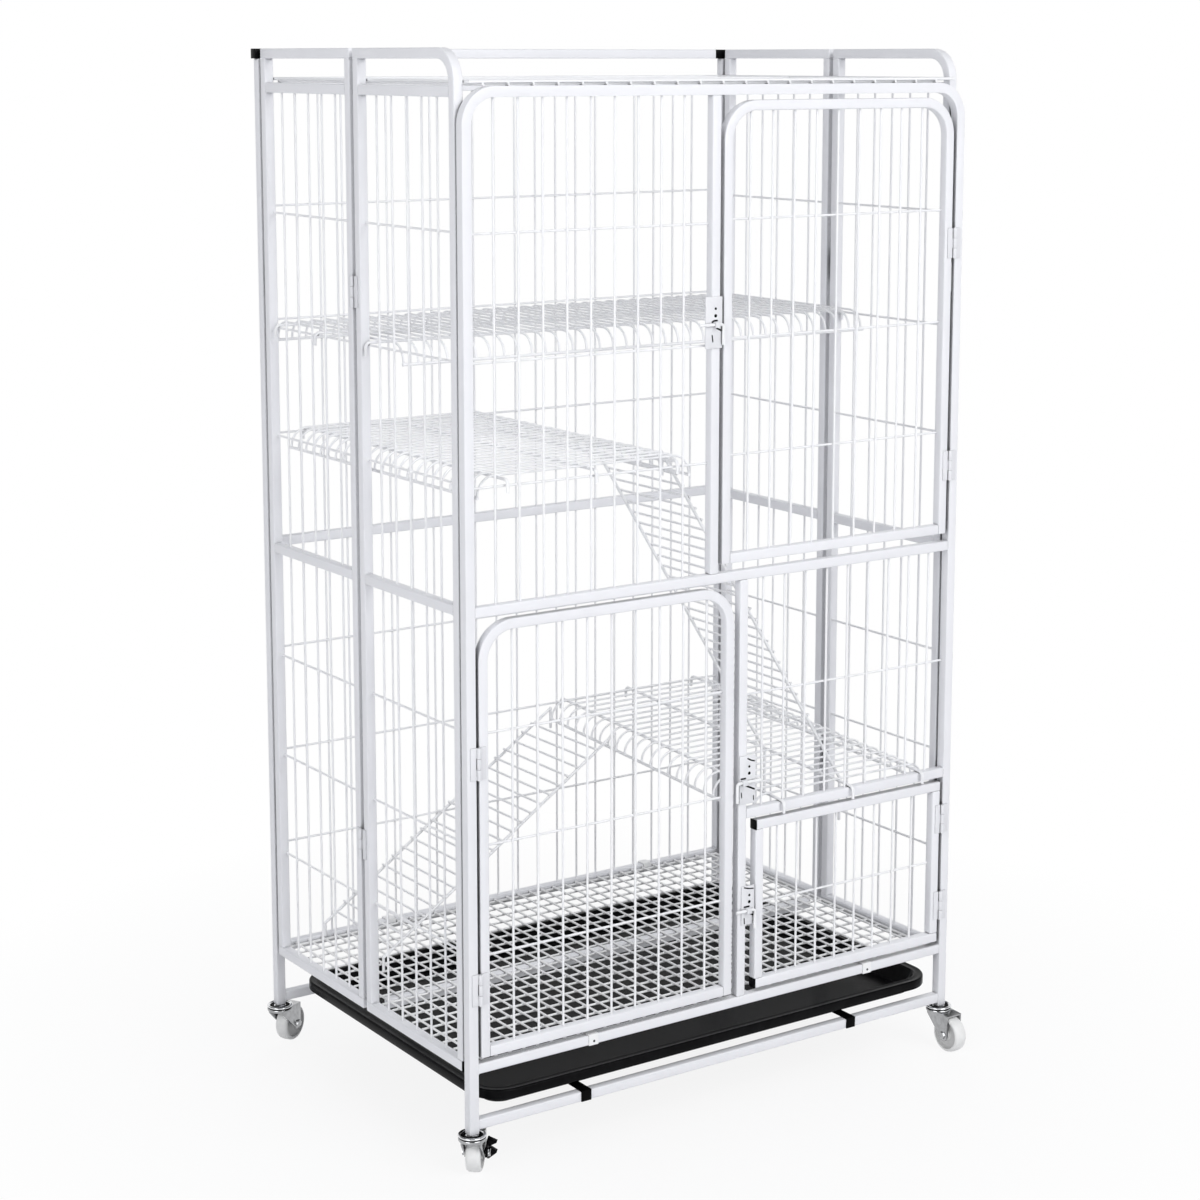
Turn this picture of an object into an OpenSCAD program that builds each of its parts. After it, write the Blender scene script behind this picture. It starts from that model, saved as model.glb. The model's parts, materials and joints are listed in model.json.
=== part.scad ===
/* [Frame] */
// Width over the two side panels
frame_w = 780; // [740:1:860]
// Depth from the front frame's face to the back of the rear posts
frame_d = 534; // [520:1:600]
// Top of the roof bars above the ground
roof_z = 1343; // [1320:1:1420]
// Rise of the guard rail's top above the roof bars
guard_rise = 44.5; // [40:0.5:60]
// Side of the square tube
tube = 13; // [12:0.5:14]
// Outer radius of the front frame's top corners
frame_corner_r = 45; // [30:1:60]
// Outer radius of the guard rail's front corners
guard_corner_r = 40; // [25:1:40]
// Underside of the middle bars above the ground
mid_z = 712; // [690:1:730]
// How much higher the middle bar of the rear panel sits
rear_mid_lift = 4; // [0:0.5:8]
// Underside of the bottom bars above the ground
bottom_z = 137.5; // [132:0.5:146]
// Rise of the lower rails above the ends of the legs
low_rail_rise = 5; // [3:0.5:12]
// Left face of the upper mullion
upper_mullion_x = 363; // [340:1:380]
// Left face of the lower mullion
lower_mullion_x = 412; // [405:1:430]
// Underside of the bar that carries the low shelf
hook_bar_z = 392.5; // [380:0.5:405]
// Gap between the front frame and a side panel
side_front_gap = 4.5; // [4.5:0.5:8]
// Gap between a side panel and the rear posts
side_rear_gap = 6; // [4.5:0.5:8]
// Gap between the two halves of a side panel
fold_gap = 8.5; // [6:0.5:12]
// Root gap at each welded joint
weld_gap = 0.02; // [0.01:0.01:0.05]
// Thickness of the plastic plug on a cut tube end
cap_t = 1.5; // [1:0.1:3]
// How far the rear guard rail's end sleeves stand out beside the posts
guard_cap_out = 4; // [1:0.5:6]
// How far the end sleeves reach inwards from the posts' outer faces
guard_cap_in = 24; // [13:1:40]

/* [Wires] */
// Diameter of the panel wires
wire_d = 3; // [2.5:0.1:3.4]
// Diameter of the shelf supports and rim wires
rod_d = 4; // [3.6:0.1:4.4]
// Spacing of the upright wires in the fixed front panels
front_pitch = 34.7; // [30:0.1:38]
// First upright wire from the tube, upper front panel
front_first = 33; // [25:1:36]
// Spacing of the upright wires beside the lower right panel
low_front_pitch = 35.5; // [30:0.1:38]
// First upright wire from the mullion, lower right panel
low_front_first = 28.5; // [20:0.5:34]
// Spacing of the upright wires in the side panels
side_pitch = 36.6; // [32:0.1:40]
// First upright wire from the post, side panels
side_first = 36.5; // [25:0.5:37]
// Spacing of the upright wires in the rear panel
rear_pitch = 34.72; // [30:0.01:38]
// First upright wire from the post, rear panel
rear_first = 8.7; // [8:0.1:30]
// Heights of the cross wires in the side panels
side_rows = [287, 427.5, 568, 872, 1018.5, 1172];
// Heights of the cross wires in the rear panel
rear_rows = [296, 429, 574.5, 872, 1027, 1180];
// Heights of the cross wires in the upper front panel
front_rows = [868, 1018, 1171];
// Height of the cross wire in the lower right panel
low_front_row = 557; // [480:1:640]

/* [Roof] */
// Spacing of the roof wires
roof_pitch = 35; // [30:0.5:40]
// Inset of the roof rim from the outside of the frame
roof_inset = 8; // [6:0.5:10]

/* [Floor] */
// Drop of the floor wires below the top of the bottom bars
floor_drop = 1.5; // [0:0.5:3]
// Spacing of the floor wires that run front to back
floor_pitch_x = 20.5; // [18:0.5:30]
// Spacing of the floor wires that run side to side
floor_pitch_y = 26; // [22:0.5:36]
// Clearance between the floor grid and the frame
floor_gap = 2; // [1.8:0.1:4]
// Inset of the stiffener's ends from the sides
stiffener_inset = 33; // [20:1:60]
// Width of the floor hooks
floor_hook_w = 14; // [10:0.5:20]
// Places of the floor hooks from the left
floor_hook_x = [176, 627];
// Thickness of hooks, straps and latch plates
strap_t = 1.5; // [1:0.1:2]

/* [Tray] */
// Clearance of the tray beside the left legs
tray_left_gap = 13; // [1:0.5:20]
// Clearance of the tray beside the right legs
tray_right_gap = 1.5; // [1:0.5:20]
// Gap in front of the tray
tray_front_gap = 3.5; // [1:0.5:30]
// Gap behind the tray
tray_rear_gap = 25; // [12:1:40]
// Height of the tray
tray_h = 25; // [18:1:34]
// Corner radius of the tray's rim
tray_corner_r = 45; // [20:1:60]
// How far the tray narrows from rim to bottom at each side
tray_taper = 9; // [4:1:20]
// Wall thickness of the tray
tray_wall = 2; // [1.5:0.1:3]
// Width of the rim
tray_rim_w = 13.5; // [8:0.5:18]
// Height of the skirt that turns down from the rim
tray_skirt_h = 12.5; // [6:0.5:16]
// Width of the tray runners
runner_w = 15; // [10:0.5:20]
// Left edges of the tray runners
runner_x = [164.5, 599.5];
// Gap between the tray and its runners
tray_float = 0.3; // [0.2:0.05:0.5]

/* [Shelves] */
// Spacing of the shelf wires
shelf_pitch = 21; // [19:0.5:24]
// First wire of the middle and low shelves from the front
shelf_first = 24; // [22:0.5:28]
// Radius of the curl at the shelf edges
curl_r = 24; // [18:1:26]
// Left rim of the middle shelf
mid_shelf_x0 = 30; // [26:1:50]
// Right rim of the middle shelf
mid_shelf_x1 = 347; // [330:1:355]
// Left rim of the low shelf
low_shelf_x0 = 450; // [445:1:460]
// Right rim of the low shelf
low_shelf_x1 = 749; // [735:1:758]
// Gap between the top shelf and the side panels' cross wires
shelf_side_gap = 10; // [4:1:20]
// Front rim of the top shelf
top_shelf_y0 = 178; // [140:1:200]
// Gap between the top shelf and the rear panel's cross wires
top_shelf_rear_gap = 2; // [1:0.5:20]
// Supports of the top shelf from the front
top_supports = [244, 380, 492];
// Supports of the middle shelf from the left
mid_supports = [62, 191, 313];
// Supports of the low shelf from the left
low_supports = [483, 601, 724];
// Bend radius of the support hooks
hook_r = 6; // [5.5:0.1:6.5]
// Straight tail of the support hooks
hook_tail = 10; // [6:1:16]
// Clearance between a resting hook and what it rests on
rest_gap = 0.1; // [0.05:0.05:0.2]

/* [Ladders] */
// Wire gaps between the two rails of a ladder
ladder_spans = 8; // [6:1:9]
// Spacing of the rungs along the rails
rung_pitch = 19; // [16:0.5:26]
// Length of the hook tails
ladder_tail = 30; // [24:1:40]
// Foot of the upper ladder from the left
upper_ladder_foot_x = 645; // [600:1:680]
// Height of the upper ladder's bend
upper_ladder_foot_z = 393; // [385:1:400]
// Straight leg of the upper ladder below the low shelf
upper_ladder_leg = 60; // [40:1:80]
// Wire gap of the low shelf that the upper ladder's front rail passes
upper_ladder_slot = 2; // [1:1:6]
// Foot of the lower ladder from the left
lower_ladder_foot_x = 75; // [60:1:120]
// Height of the lower ladder's bend above the floor wires
lower_ladder_bend = 19; // [12:1:30]
// Wire gaps of the low shelf behind the lower ladder
lower_ladder_gaps = 0; // [0:1:6]
// Height of the ladders' hooks above the rims they hang on
ladder_rise = 22; // [16:1:28]

/* [Doors] */
// Gap between a door and the frame at the hinge side
hinge_gap = 5; // [4:0.5:7]
// Gap between the lower left door and its post
left_hinge_gap = 4.5; // [4:0.5:7]
// Gap between the upper door and the bars above and below it
upper_door_gap_z = 6.5; // [4:0.5:20]
// Gap below the upper door
upper_door_gap_low = 11; // [4:0.5:20]
// Gap between the upper door and the mullion
upper_door_gap_x = 6; // [4:0.5:10]
// Gap above and below the lower left door
left_door_gap_z = 6; // [5:0.5:10]
// Gap between the lower left door and the lower mullion
left_door_gap_x = 9; // [5:0.5:14]
// Gap above and below the small door
small_door_gap_z = 5.5; // [5:0.5:10]
// Gap between the small door and the lower mullion
small_door_gap_x = 16; // [10:0.5:24]
// Outer radius of the doors' top corners
door_corner_r = 50; // [30:1:70]
// Upright wires of the upper door: first from the tube and spacing
upper_door_wires = [31.5, 35.5];
// Upright wires of the left door: first from the tube and spacing
left_door_wires = [38, 36.75];
// Upright wires of the small door: first from the tube and spacing
small_door_wires = [27, 33.5];
// Cross wires of the upper door above its underside
upper_door_rows = [139, 289, 439];
// Cross wires of the left door above its underside
left_door_rows = [128.5, 268.5, 409.5];
// Cross wires of the small door above its underside
small_door_rows = [114.5];

/* [Hinges] */
// Length of a hinge
hinge_len = 40; // [30:1:50]
// Radius of the hinge barrel
barrel_r = 2.6; // [2.4:0.1:3]
// Radius of the hinge pin
pin_r = 1.4; // [1:0.1:1.6]
// Running clearance of the pin in the knuckles
pin_fit = 0.05; // [0.02:0.01:0.1]
// Gap between neighbouring knuckles
knuckle_gap = 0.4; // [0.3:0.1:1]
// Thickness of the hinge leaves
leaf_t = 1.5; // [1:0.1:2]
// Width of the hinge leaves from the barrel's middle
leaf_w = 11; // [8:0.5:13]
// Heights of the fold hinges' lower ends
fold_hinge_z = [345, 1065];
// Feet of the upper door's hinges: above its underside, and below its top
upper_hinge_z = [74, 212.5];
// Feet of the left door's hinges: above its underside, and below its top
left_hinge_z = [70, 193.5];
// Feet of the small door's hinges: above its underside, and below its top
small_hinge_z = [33, 73];

/* [Latches] */
// Width of the upper and left latch plates
latch_w = 26; // [22:0.5:28]
// Height of the upper and left latch plates
latch_h = 65; // [55:1:75]
// Height of the bolt above the lower edge of those plates
latch_bolt_z = 30; // [24:1:40]
// Width of the small door's latch plate
small_latch_w = 21; // [18:0.5:22]
// Height of the small door's latch plate
small_latch_h = 53; // [45:1:60]
// Height of the bolt above the lower edge of that plate
small_latch_bolt_z = 20; // [14:1:28]
// Diameter of the bolt wire
bolt_d = 4; // [3:0.1:4.4]
// Clearance between the bolt and its plate
bolt_gap = 0.3; // [0.2:0.05:0.6]
// Clearance between the bolt and its guide
guide_fit = 0.1; // [0.05:0.01:0.2]
// Length of the guide that holds the bolt
guide_len = 7; // [5:0.5:9]
// Distance between a drawn bolt and its door
bolt_clear = 1.6; // [1.2:0.1:2.4]
// Length of the bolt's handle
handle_len = 22; // [14:1:30]
// How far the upper and left bolts travel
bolt_throw = 22; // [18:1:26]
// How far the small door's bolt travels
small_bolt_throw = 15; // [12:1:16]
// Upper latch plate's lower edge above the ground
upper_latch_z = 1015; // [900:1:1100]
// Left door latch plate's lower edge above the ground
left_latch_z = 413; // [408:1:600]
// Small door latch plate's lower edge above the ground
small_latch_z = 248; // [200:1:300]

/* [Casters] */
// Height of the casters, from the ground to the legs' ends
caster_h = 60; // [58:1:66]
// Diameter of the wheels
wheel_d = 50; // [44:1:52]
// Width of the tread
wheel_w = 20; // [14:0.5:22]
// Distance of the axle behind the swivel
caster_trail = 25; // [22:1:28]
// Radius of the swivel's upper cup
race_r = 18; // [16:0.5:19]
// Radius of the swivel stem
stem_r = 4; // [3.5:0.1:4.5]
// Length of the stem inside the leg
stem_len = 35; // [25:1:45]
// Radius of the axle
axle_r = 3; // [2:0.1:4]
// Thickness of the fork's cheeks
cheek_t = 2; // [1.5:0.1:2.5]
// Gap between the wheel and each cheek
cheek_gap = 1; // [0.5:0.1:1.5]
// Headings of the casters: front left, front right, rear left, rear right
caster_heading = [50, -90, 30, 90];
// Thickness of the brake pedal's plate
pedal_t = 2.4; // [2:0.1:3]
// How far the pedal's lobes stand out from its plate
pedal_reach = 10; // [6:0.5:14]
// Distance across the flats of the axle nuts
nut_af = 9; // [8:0.5:10]

/* [Hidden] */
$fn = 32;
white = "#f2f4f7";
black = "#17181a";
steel = "#c3c6ca";
leg_z = caster_h;
low_z = leg_z + low_rail_rise;
guard_z = roof_z + guard_rise;
bar_top = bottom_z + tube;
inner_x1 = frame_w - tube;
rear_y = frame_d - tube;
side_y0 = tube + side_front_gap;
side_y1 = rear_y - side_rear_gap;
half_d = (side_y1 - side_y0 - fold_gap) / 2;
fold_y = side_y0 + half_d + fold_gap / 2;
// The crossing wires lie on the inner side of the upright ones
cross = wire_d + weld_gap;
row_off = tube / 2 + cross;
floor_top = bar_top - floor_drop;
floor_y_z = floor_top - wire_d / 2;
floor_x_z = floor_y_z - cross;
floor_rim_z = floor_y_z - wire_d / 2 - weld_gap - rod_d / 2;
runner_top = low_z + tube + strap_t;
tray_z = runner_top + tray_float;
rest = wire_d / 2 + rest_gap + rod_d / 2;
shelf_stack = (rod_d + wire_d) / 2 + weld_gap;
top_support_z = side_rows[4] + rest;
top_shelf_z = top_support_z + shelf_stack;
mid_support_z = rear_rows[3] + rest;
mid_shelf_z = mid_support_z + shelf_stack;
low_front_z = hook_bar_z + tube + rest_gap + rod_d / 2;
low_rear_z = rear_rows[1] + rest;
rear_row_y = frame_d - row_off;
low_run = rear_row_y;
low_slope = atan2(low_rear_z - low_front_z, low_run);
shelf_y_end = rear_row_y - 16;
rim_drop = curl_r + rod_d / 2 + weld_gap;
axis_off = barrel_r + 0.2;
bore_r = pin_r + pin_fit;
door_y = -axis_off;
door_pin_x = inner_x1 - hinge_gap / 2;
left_pin_x = tube + left_hinge_gap / 2;
upper_door_x = upper_mullion_x + tube + upper_door_gap_x;
upper_door_w = inner_x1 - hinge_gap - upper_door_x;
upper_door_z = mid_z + tube + upper_door_gap_low;
upper_door_h = roof_z - tube - upper_door_gap_z - upper_door_z;
left_door_x = tube + left_hinge_gap;
left_door_w = lower_mullion_x - left_door_gap_x - left_door_x;
left_door_z = bar_top + left_door_gap_z;
left_door_h = mid_z - left_door_gap_z - left_door_z;
small_door_x = lower_mullion_x + tube + small_door_gap_x;
small_door_w = inner_x1 - hinge_gap - small_door_x;
small_door_z = bar_top + small_door_gap_z;
small_door_h = hook_bar_z - small_door_gap_z - small_door_z;
guide_off = bolt_d * 1.5 + 1.4;
upper_handle_x = upper_door_x - bolt_clear - bolt_d / 2;
left_handle_x = left_door_x + left_door_w + bolt_clear + bolt_d / 2;
small_handle_x = small_door_x - bolt_clear - bolt_d / 2;
axle_z = wheel_d / 2;
cup_h = 4;
race_gap = 0.3;
disc_top = caster_h - cup_h - race_gap;
disc_h = 4;
stem_fit = 0.1;
axle_fit = 0.06;
axle_gap = 0.4;
fork_in = wheel_w / 2 + cheek_gap;
leg_mid = tube / 2;
caster_at = [[leg_mid, leg_mid], [frame_w - leg_mid, leg_mid],
  [leg_mid, frame_d - leg_mid], [frame_w - leg_mid, frame_d - leg_mid]];

// Places a child from the left front corner of the frame at ground level
module cage() {
  translate([-frame_w / 2, -frame_d / 2, 0]) children();
}

// Straight pieces of square tube between two stations
module tube_x(x0, x1, y, z) {
  translate([x0, y, z]) cube([x1 - x0, tube, tube]);
}

module tube_y(x, y0, y1, z) {
  translate([x, y0, z]) cube([tube, y1 - y0, tube]);
}

module tube_z(x, y, z0, z1) {
  translate([x, y, z0]) cube([tube, tube, z1 - z0]);
}

// Straight round wires between two stations
module wire_x(x0, x1, y, z, d = wire_d) {
  translate([x0, y, z]) rotate([0, 90, 0]) cylinder(h = x1 - x0, d = d);
}

module wire_y(x, y0, y1, z, d = wire_d) {
  translate([x, y0, z]) rotate([-90, 0, 0]) cylinder(h = y1 - y0, d = d);
}

module wire_z(x, y, z0, z1, d = wire_d) {
  translate([x, y, z0]) cylinder(h = z1 - z0, d = d);
}

// Stations of evenly spaced wires between two tubes
function stations(a, b, first, pitch, margin = 8) =
  [for (i = [0 : floor((b - a - first - margin) / pitch)]) a + first + i * pitch];

// How far a round inside corner hangs below its top, at a distance from its side
function corner_drop(from_side, r) =
  from_side >= r ? 0 : r - sqrt(r * r - pow(r - max(from_side, 0), 2));

// Outline of a panel with two round top corners
module arch(w, h, r) {
  union() {
    square([w, h - r]);
    translate([r, h - r]) square([w - 2 * r, r]);
    translate([r, h - r]) circle(r, $fn = 64);
    translate([w - r, h - r]) circle(r, $fn = 64);
  }
}

// One tube bent into a hoop, standing in the plane of the front
module hoop(w, h, r) {
  translate([0, tube, 0]) rotate([90, 0, 0]) linear_extrude(tube) difference() {
    arch(w, h, r);
    translate([tube, -1]) arch(w - 2 * tube, h - tube + 1, r - tube);
  }
}

// Upright and cross wires that fill a window of the front plane
module front_grille(x0, x1, z0, z1, first, pitch, rows, corner_r = 0) {
  for (x = stations(x0, x1, first, pitch))
    wire_z(x, tube / 2, z0 + weld_gap,
      z1 - weld_gap - corner_drop(min(x - x0, x1 - x) - wire_d / 2, corner_r));
  for (z = rows)
    wire_x(x0 + weld_gap, x1 - weld_gap, row_off, z);
}

// Front frame
module front_hoop() {
  color(white) cage() difference() {
    translate([0, 0, leg_z]) hoop(frame_w, roof_z - leg_z, frame_corner_r);
    for (x = [leg_mid, frame_w - leg_mid])
      translate([x, leg_mid, leg_z - 1]) cylinder(h = stem_len + 2, r = stem_r + stem_fit);
  }
}

module front_mid_bar() {
  color(white) cage() tube_x(tube + weld_gap, inner_x1 - weld_gap, 0, mid_z);
}

module front_bottom_bar() {
  color(white) cage() tube_x(tube + weld_gap, inner_x1 - weld_gap, 0, bottom_z);
}

module front_lower_rail() {
  color(white) cage() tube_x(tube + weld_gap, inner_x1 - weld_gap, 0, low_z);
}

module upper_mullion() {
  color(white) cage()
    tube_z(upper_mullion_x, 0, mid_z + tube + weld_gap, roof_z - tube - weld_gap);
}

module lower_mullion() {
  color(white) cage() tube_z(lower_mullion_x, 0, bar_top + weld_gap, mid_z - weld_gap);
}

module hook_bar() {
  color(white) cage()
    tube_x(lower_mullion_x + tube + weld_gap, inner_x1 - weld_gap, 0, hook_bar_z);
}

module front_upper_wires() {
  color(white) cage() front_grille(tube, upper_mullion_x, mid_z + tube, roof_z - tube,
    front_first, front_pitch, front_rows);
}

module front_lower_wires() {
  color(white) cage() front_grille(lower_mullion_x + tube, inner_x1,
    hook_bar_z + tube, mid_z, low_front_first, low_front_pitch, [low_front_row]);
}

// Rear panel
module rear_posts() {
  color(white) cage() for (x = [0, inner_x1]) difference() {
    tube_z(x, rear_y, leg_z, guard_z - tube - weld_gap);
    translate([x + leg_mid, frame_d - leg_mid, leg_z - 1])
      cylinder(h = stem_len + 2, r = stem_r + stem_fit);
  }
}

module rear_bars() {
  color(white) cage() {
    tube_x(guard_cap_in + weld_gap, frame_w - guard_cap_in - weld_gap, rear_y, guard_z - tube);
    for (z = [roof_z - tube, mid_z + rear_mid_lift, bottom_z, low_z])
      tube_x(tube + weld_gap, inner_x1 - weld_gap, rear_y, z);
  }
}

module rear_wires() {
  mid_low = mid_z + rear_mid_lift;
  color(white) cage() {
    for (x = stations(tube, inner_x1, rear_first, rear_pitch)) {
      wire_z(x, frame_d - tube / 2, bar_top + weld_gap, mid_low - weld_gap);
      wire_z(x, frame_d - tube / 2, mid_low + tube + weld_gap, roof_z - tube - weld_gap);
    }
    for (z = rear_rows)
      wire_x(tube + weld_gap, inner_x1 - weld_gap, rear_row_y, z);
  }
}

// Guard rail and post of a front half, bent from one tube
module guard_bend(y0, y1) {
  r = guard_corner_r;
  rise = guard_z - bar_top - weld_gap;
  translate([0, y0, bar_top + weld_gap]) rotate([90, 0, 90]) linear_extrude(tube) difference() {
    union() {
      square([tube, rise - r]);
      translate([r, rise - tube]) square([y1 - y0 - r, tube]);
      intersection() {
        translate([r, rise - r]) circle(r, $fn = 64);
        translate([0, rise - r]) square(r);
      }
    }
    translate([r, rise - r]) circle(r - tube, $fn = 64);
  }
}

// One half of a side panel, with its left face at x
module side_half(x, y0, y1, bent) {
  if (bent) guard_bend(y0, y1);
  if (!bent) {
    tube_z(x, y0, bar_top + weld_gap, guard_z - tube - weld_gap);
    tube_y(x, y0, y1, guard_z - tube);
  }
  tube_z(x, y1 - tube, bar_top + weld_gap, guard_z - tube - weld_gap);
  for (z = [mid_z, roof_z - tube])
    tube_y(x, y0 + tube + weld_gap, y1 - tube - weld_gap, z);
  tube_y(x, y0 + (bent ? cap_t + weld_gap : 0), y1, bottom_z);
}

module side_grille(x, side, y0, y1) {
  ya = y0 + tube;
  yb = y1 - tube;
  for (y = stations(ya, yb, side_first, side_pitch)) {
    wire_z(x + tube / 2, y, bar_top + weld_gap, mid_z - weld_gap);
    wire_z(x + tube / 2, y, mid_z + tube + weld_gap, roof_z - tube - weld_gap);
  }
  for (z = side_rows)
    wire_y(x + tube / 2 + side * cross, ya + weld_gap, yb - weld_gap, z);
}

module left_front_half() {
  color(white) cage() side_half(0, side_y0, side_y0 + half_d, true);
}

module left_rear_half() {
  color(white) cage() side_half(0, side_y1 - half_d, side_y1, false);
}

module right_front_half() {
  color(white) cage() translate([inner_x1, 0, 0]) side_half(0, side_y0, side_y0 + half_d, true);
}

module right_rear_half() {
  color(white) cage() side_half(inner_x1, side_y1 - half_d, side_y1, false);
}

module left_front_wires() {
  color(white) cage() side_grille(0, 1, side_y0, side_y0 + half_d);
}

module left_rear_wires() {
  color(white) cage() side_grille(0, 1, side_y1 - half_d, side_y1);
}

module right_front_wires() {
  color(white) cage() side_grille(inner_x1, -1, side_y0, side_y0 + half_d);
}

module right_rear_wires() {
  color(white) cage() side_grille(inner_x1, -1, side_y1 - half_d, side_y1);
}

// Knuckles and leaf of a hinge whose pin stands on the Z axis
// The leaf reaches to -X and lies against a face axis_off behind the pin
module hinge_side(knuckles, gap) {
  for (k = knuckles) translate([0, 0, k[0]]) difference() {
    union() {
      cylinder(h = k[1] - k[0], r = barrel_r);
      translate([-gap, axis_off - leaf_t, 0]) cube([gap, leaf_t, k[1] - k[0]]);
    }
    translate([0, 0, -1]) cylinder(h = hinge_len + 2, r = bore_r);
  }
  translate([-leaf_w, axis_off - leaf_t, 0]) cube([leaf_w - gap, leaf_t, hinge_len]);
}

third = hinge_len / 3;
outer_knuckles = [[0, third - knuckle_gap / 2], [2 * third + knuckle_gap / 2, hinge_len]];
mid_knuckle = [[third + knuckle_gap / 2, 2 * third - knuckle_gap / 2]];
leaf_gap = barrel_r + 0.5;

module hinge_a() {
  hinge_side(outer_knuckles, leaf_gap);
}

module hinge_b() {
  mirror([1, 0, 0]) hinge_side(mid_knuckle, leaf_gap);
}

module hinge_pin() {
  translate([0, 0, -1]) cylinder(h = hinge_len + 2, r = pin_r);
}

module whole_hinge() {
  hinge_a();
  hinge_b();
  hinge_pin();
}

// Hinges between the halves of each side panel, on the outer faces
module fold_hinges() {
  color(white) cage() for (z = fold_hinge_z) {
    translate([-axis_off, fold_y, z]) rotate([0, 0, -90]) whole_hinge();
    translate([frame_w + axis_off, fold_y, z]) rotate([0, 0, 90]) whole_hinge();
  }
}

// Hinges between the side panels and the corner posts, on the inner faces
corner_pin_y = tube + barrel_r + 0.4;
rear_pin_y = rear_y - side_rear_gap / 2;

module corner_hinges() {
  color(white) cage() for (z = fold_hinge_z) {
    for (y = [corner_pin_y, rear_pin_y]) {
      translate([tube + axis_off, y, z]) rotate([0, 0, 90]) whole_hinge();
      translate([inner_x1 - axis_off, y, z]) rotate([0, 0, -90]) whole_hinge();
    }
  }
}

// Plastic plugs on the open tube ends
module tube_caps() {
  color(black) cage() {
    for (x = [-guard_cap_out, frame_w - guard_cap_in])
      translate([x, rear_y, guard_z - tube]) cube([guard_cap_out + guard_cap_in, tube, tube]);
    for (x = [0, inner_x1])
      translate([x, side_y0, bottom_z]) cube([tube, cap_t, tube]);
  }
}

// Wire roof that lies on the front and rear bars
module roof_panel() {
  under_z = roof_z + rest_gap + wire_d / 2;
  rim_z = under_z + shelf_stack;
  x0 = tube + weld_gap + rod_d / 2 + 1;
  x1 = frame_w - x0;
  color(white) cage() {
    for (x = stations(x0, x1, roof_pitch / 2, roof_pitch, 4))
      wire_y(x, roof_inset - rod_d / 2, frame_d - roof_inset + rod_d / 2, under_z);
    for (y = [roof_inset, frame_d - roof_inset])
      wire_x(x0 - rod_d / 2, x1 + rod_d / 2, y, rim_z, rod_d);
    for (x = [x0, x1])
      wire_y(x, roof_inset + rod_d / 2 + weld_gap, frame_d - roof_inset - rod_d / 2 - weld_gap,
        rim_z, rod_d);
    for (k = [1, 2])
      wire_x(x0 + rod_d / 2 + weld_gap, x1 - rod_d / 2 - weld_gap, k * frame_d / 3,
        under_z + cross);
  }
}

// Hook of flat strap that holds the floor to a bottom bar
module floor_hook() {
  y1 = tube + floor_gap;
  translate([0, -strap_t, bar_top + rest_gap]) cube([floor_hook_w, y1 + strap_t, strap_t]);
  translate([0, -strap_t - rest_gap, bottom_z])
    cube([floor_hook_w, strap_t, tube + rest_gap + strap_t]);
  translate([0, y1 - strap_t, floor_rim_z]) cube([floor_hook_w, strap_t, bar_top - floor_rim_z + 1]);
}

module floor_grid() {
  rim0 = tube + floor_gap + weld_gap + rod_d / 2;
  rim1 = frame_d - rim0;
  side0 = tube + floor_gap + rod_d / 2;
  side1 = frame_w - side0;
  color(white) cage() {
    for (y = [rim0, rim1])
      wire_x(side0 - rod_d / 2, side1 + rod_d / 2, y, floor_rim_z, rod_d);
    for (x = [side0, side1])
      wire_y(x, rim0 + rod_d / 2 + weld_gap, rim1 - rod_d / 2 - weld_gap, floor_rim_z, rod_d);
    for (x = stations(side0, side1, floor_pitch_x * 0.6, floor_pitch_x, 4))
      wire_y(x, rim0 - rod_d / 2, rim1 + rod_d / 2, floor_y_z);
    for (k = [0.5 : 1 : (rim1 - rim0) / 2 / floor_pitch_y - 0.4], s = [-1, 1])
      wire_x(side0 + rod_d / 2 + weld_gap, side1 - rod_d / 2 - weld_gap,
        frame_d / 2 + s * k * floor_pitch_y, floor_x_z);
    for (x = floor_hook_x) {
      translate([x, 0, 0]) floor_hook();
      translate([x, frame_d, 0]) mirror([0, 1, 0]) floor_hook();
    }
  }
}

module floor_stiffener() {
  top = floor_y_z - wire_d / 2 - weld_gap;
  color(white) cage()
    tube_x(stiffener_inset, frame_w - stiffener_inset, (frame_d - tube) / 2, top - tube);
}

// Straps that carry the tray from the front rail to the rear rail
module tray_runners() {
  top = low_z + tube + rest_gap / 2;
  color(black) cage() for (x = runner_x) {
    translate([x, -strap_t, top]) cube([runner_w, frame_d + 2 * strap_t, strap_t - rest_gap / 2]);
    for (y = [-strap_t, frame_d])
      translate([x, y, low_z]) cube([runner_w, strap_t, tube + strap_t]);
  }
}

// Rounded block between two heights that widens upward
module tray_block(x0, x1, y0, y1, z0, z1, r, taper) {
  hull() for (x = [0, 1], y = [0, 1]) {
    translate([(x ? x1 - r : x0 + r), (y ? y1 - r : y0 + r), z1 - 0.1]) cylinder(h = 0.1, r = r);
    translate([(x ? x1 - r - taper : x0 + r + taper), (y ? y1 - r - taper : y0 + r + taper), z0])
      cylinder(h = 0.1, r = r);
  }
}

// Block at an inset from the tray's outline, between two heights
module tray_pan(inset, z0, z1, taper) {
  tray_block(tube + tray_left_gap + inset, frame_w - tube - tray_right_gap - inset,
    tray_front_gap + inset, frame_d - tray_rear_gap - inset, z0, z1, tray_corner_r - inset, taper);
}

module tray() {
  top = tray_z + tray_h;
  t = tray_wall;
  color(black) cage() difference() {
    union() {
      tray_pan(tray_rim_w - t, tray_z, top, tray_taper);
      tray_pan(0, top - tray_skirt_h, top, 0);
    }
    tray_pan(tray_rim_w, tray_z + t, top + 0.2, tray_taper);
    difference() {
      tray_pan(t, top - tray_skirt_h - 1, top - t, 0);
      tray_pan(tray_rim_w - t, tray_z, top, tray_taper);
    }
  }
}

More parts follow.
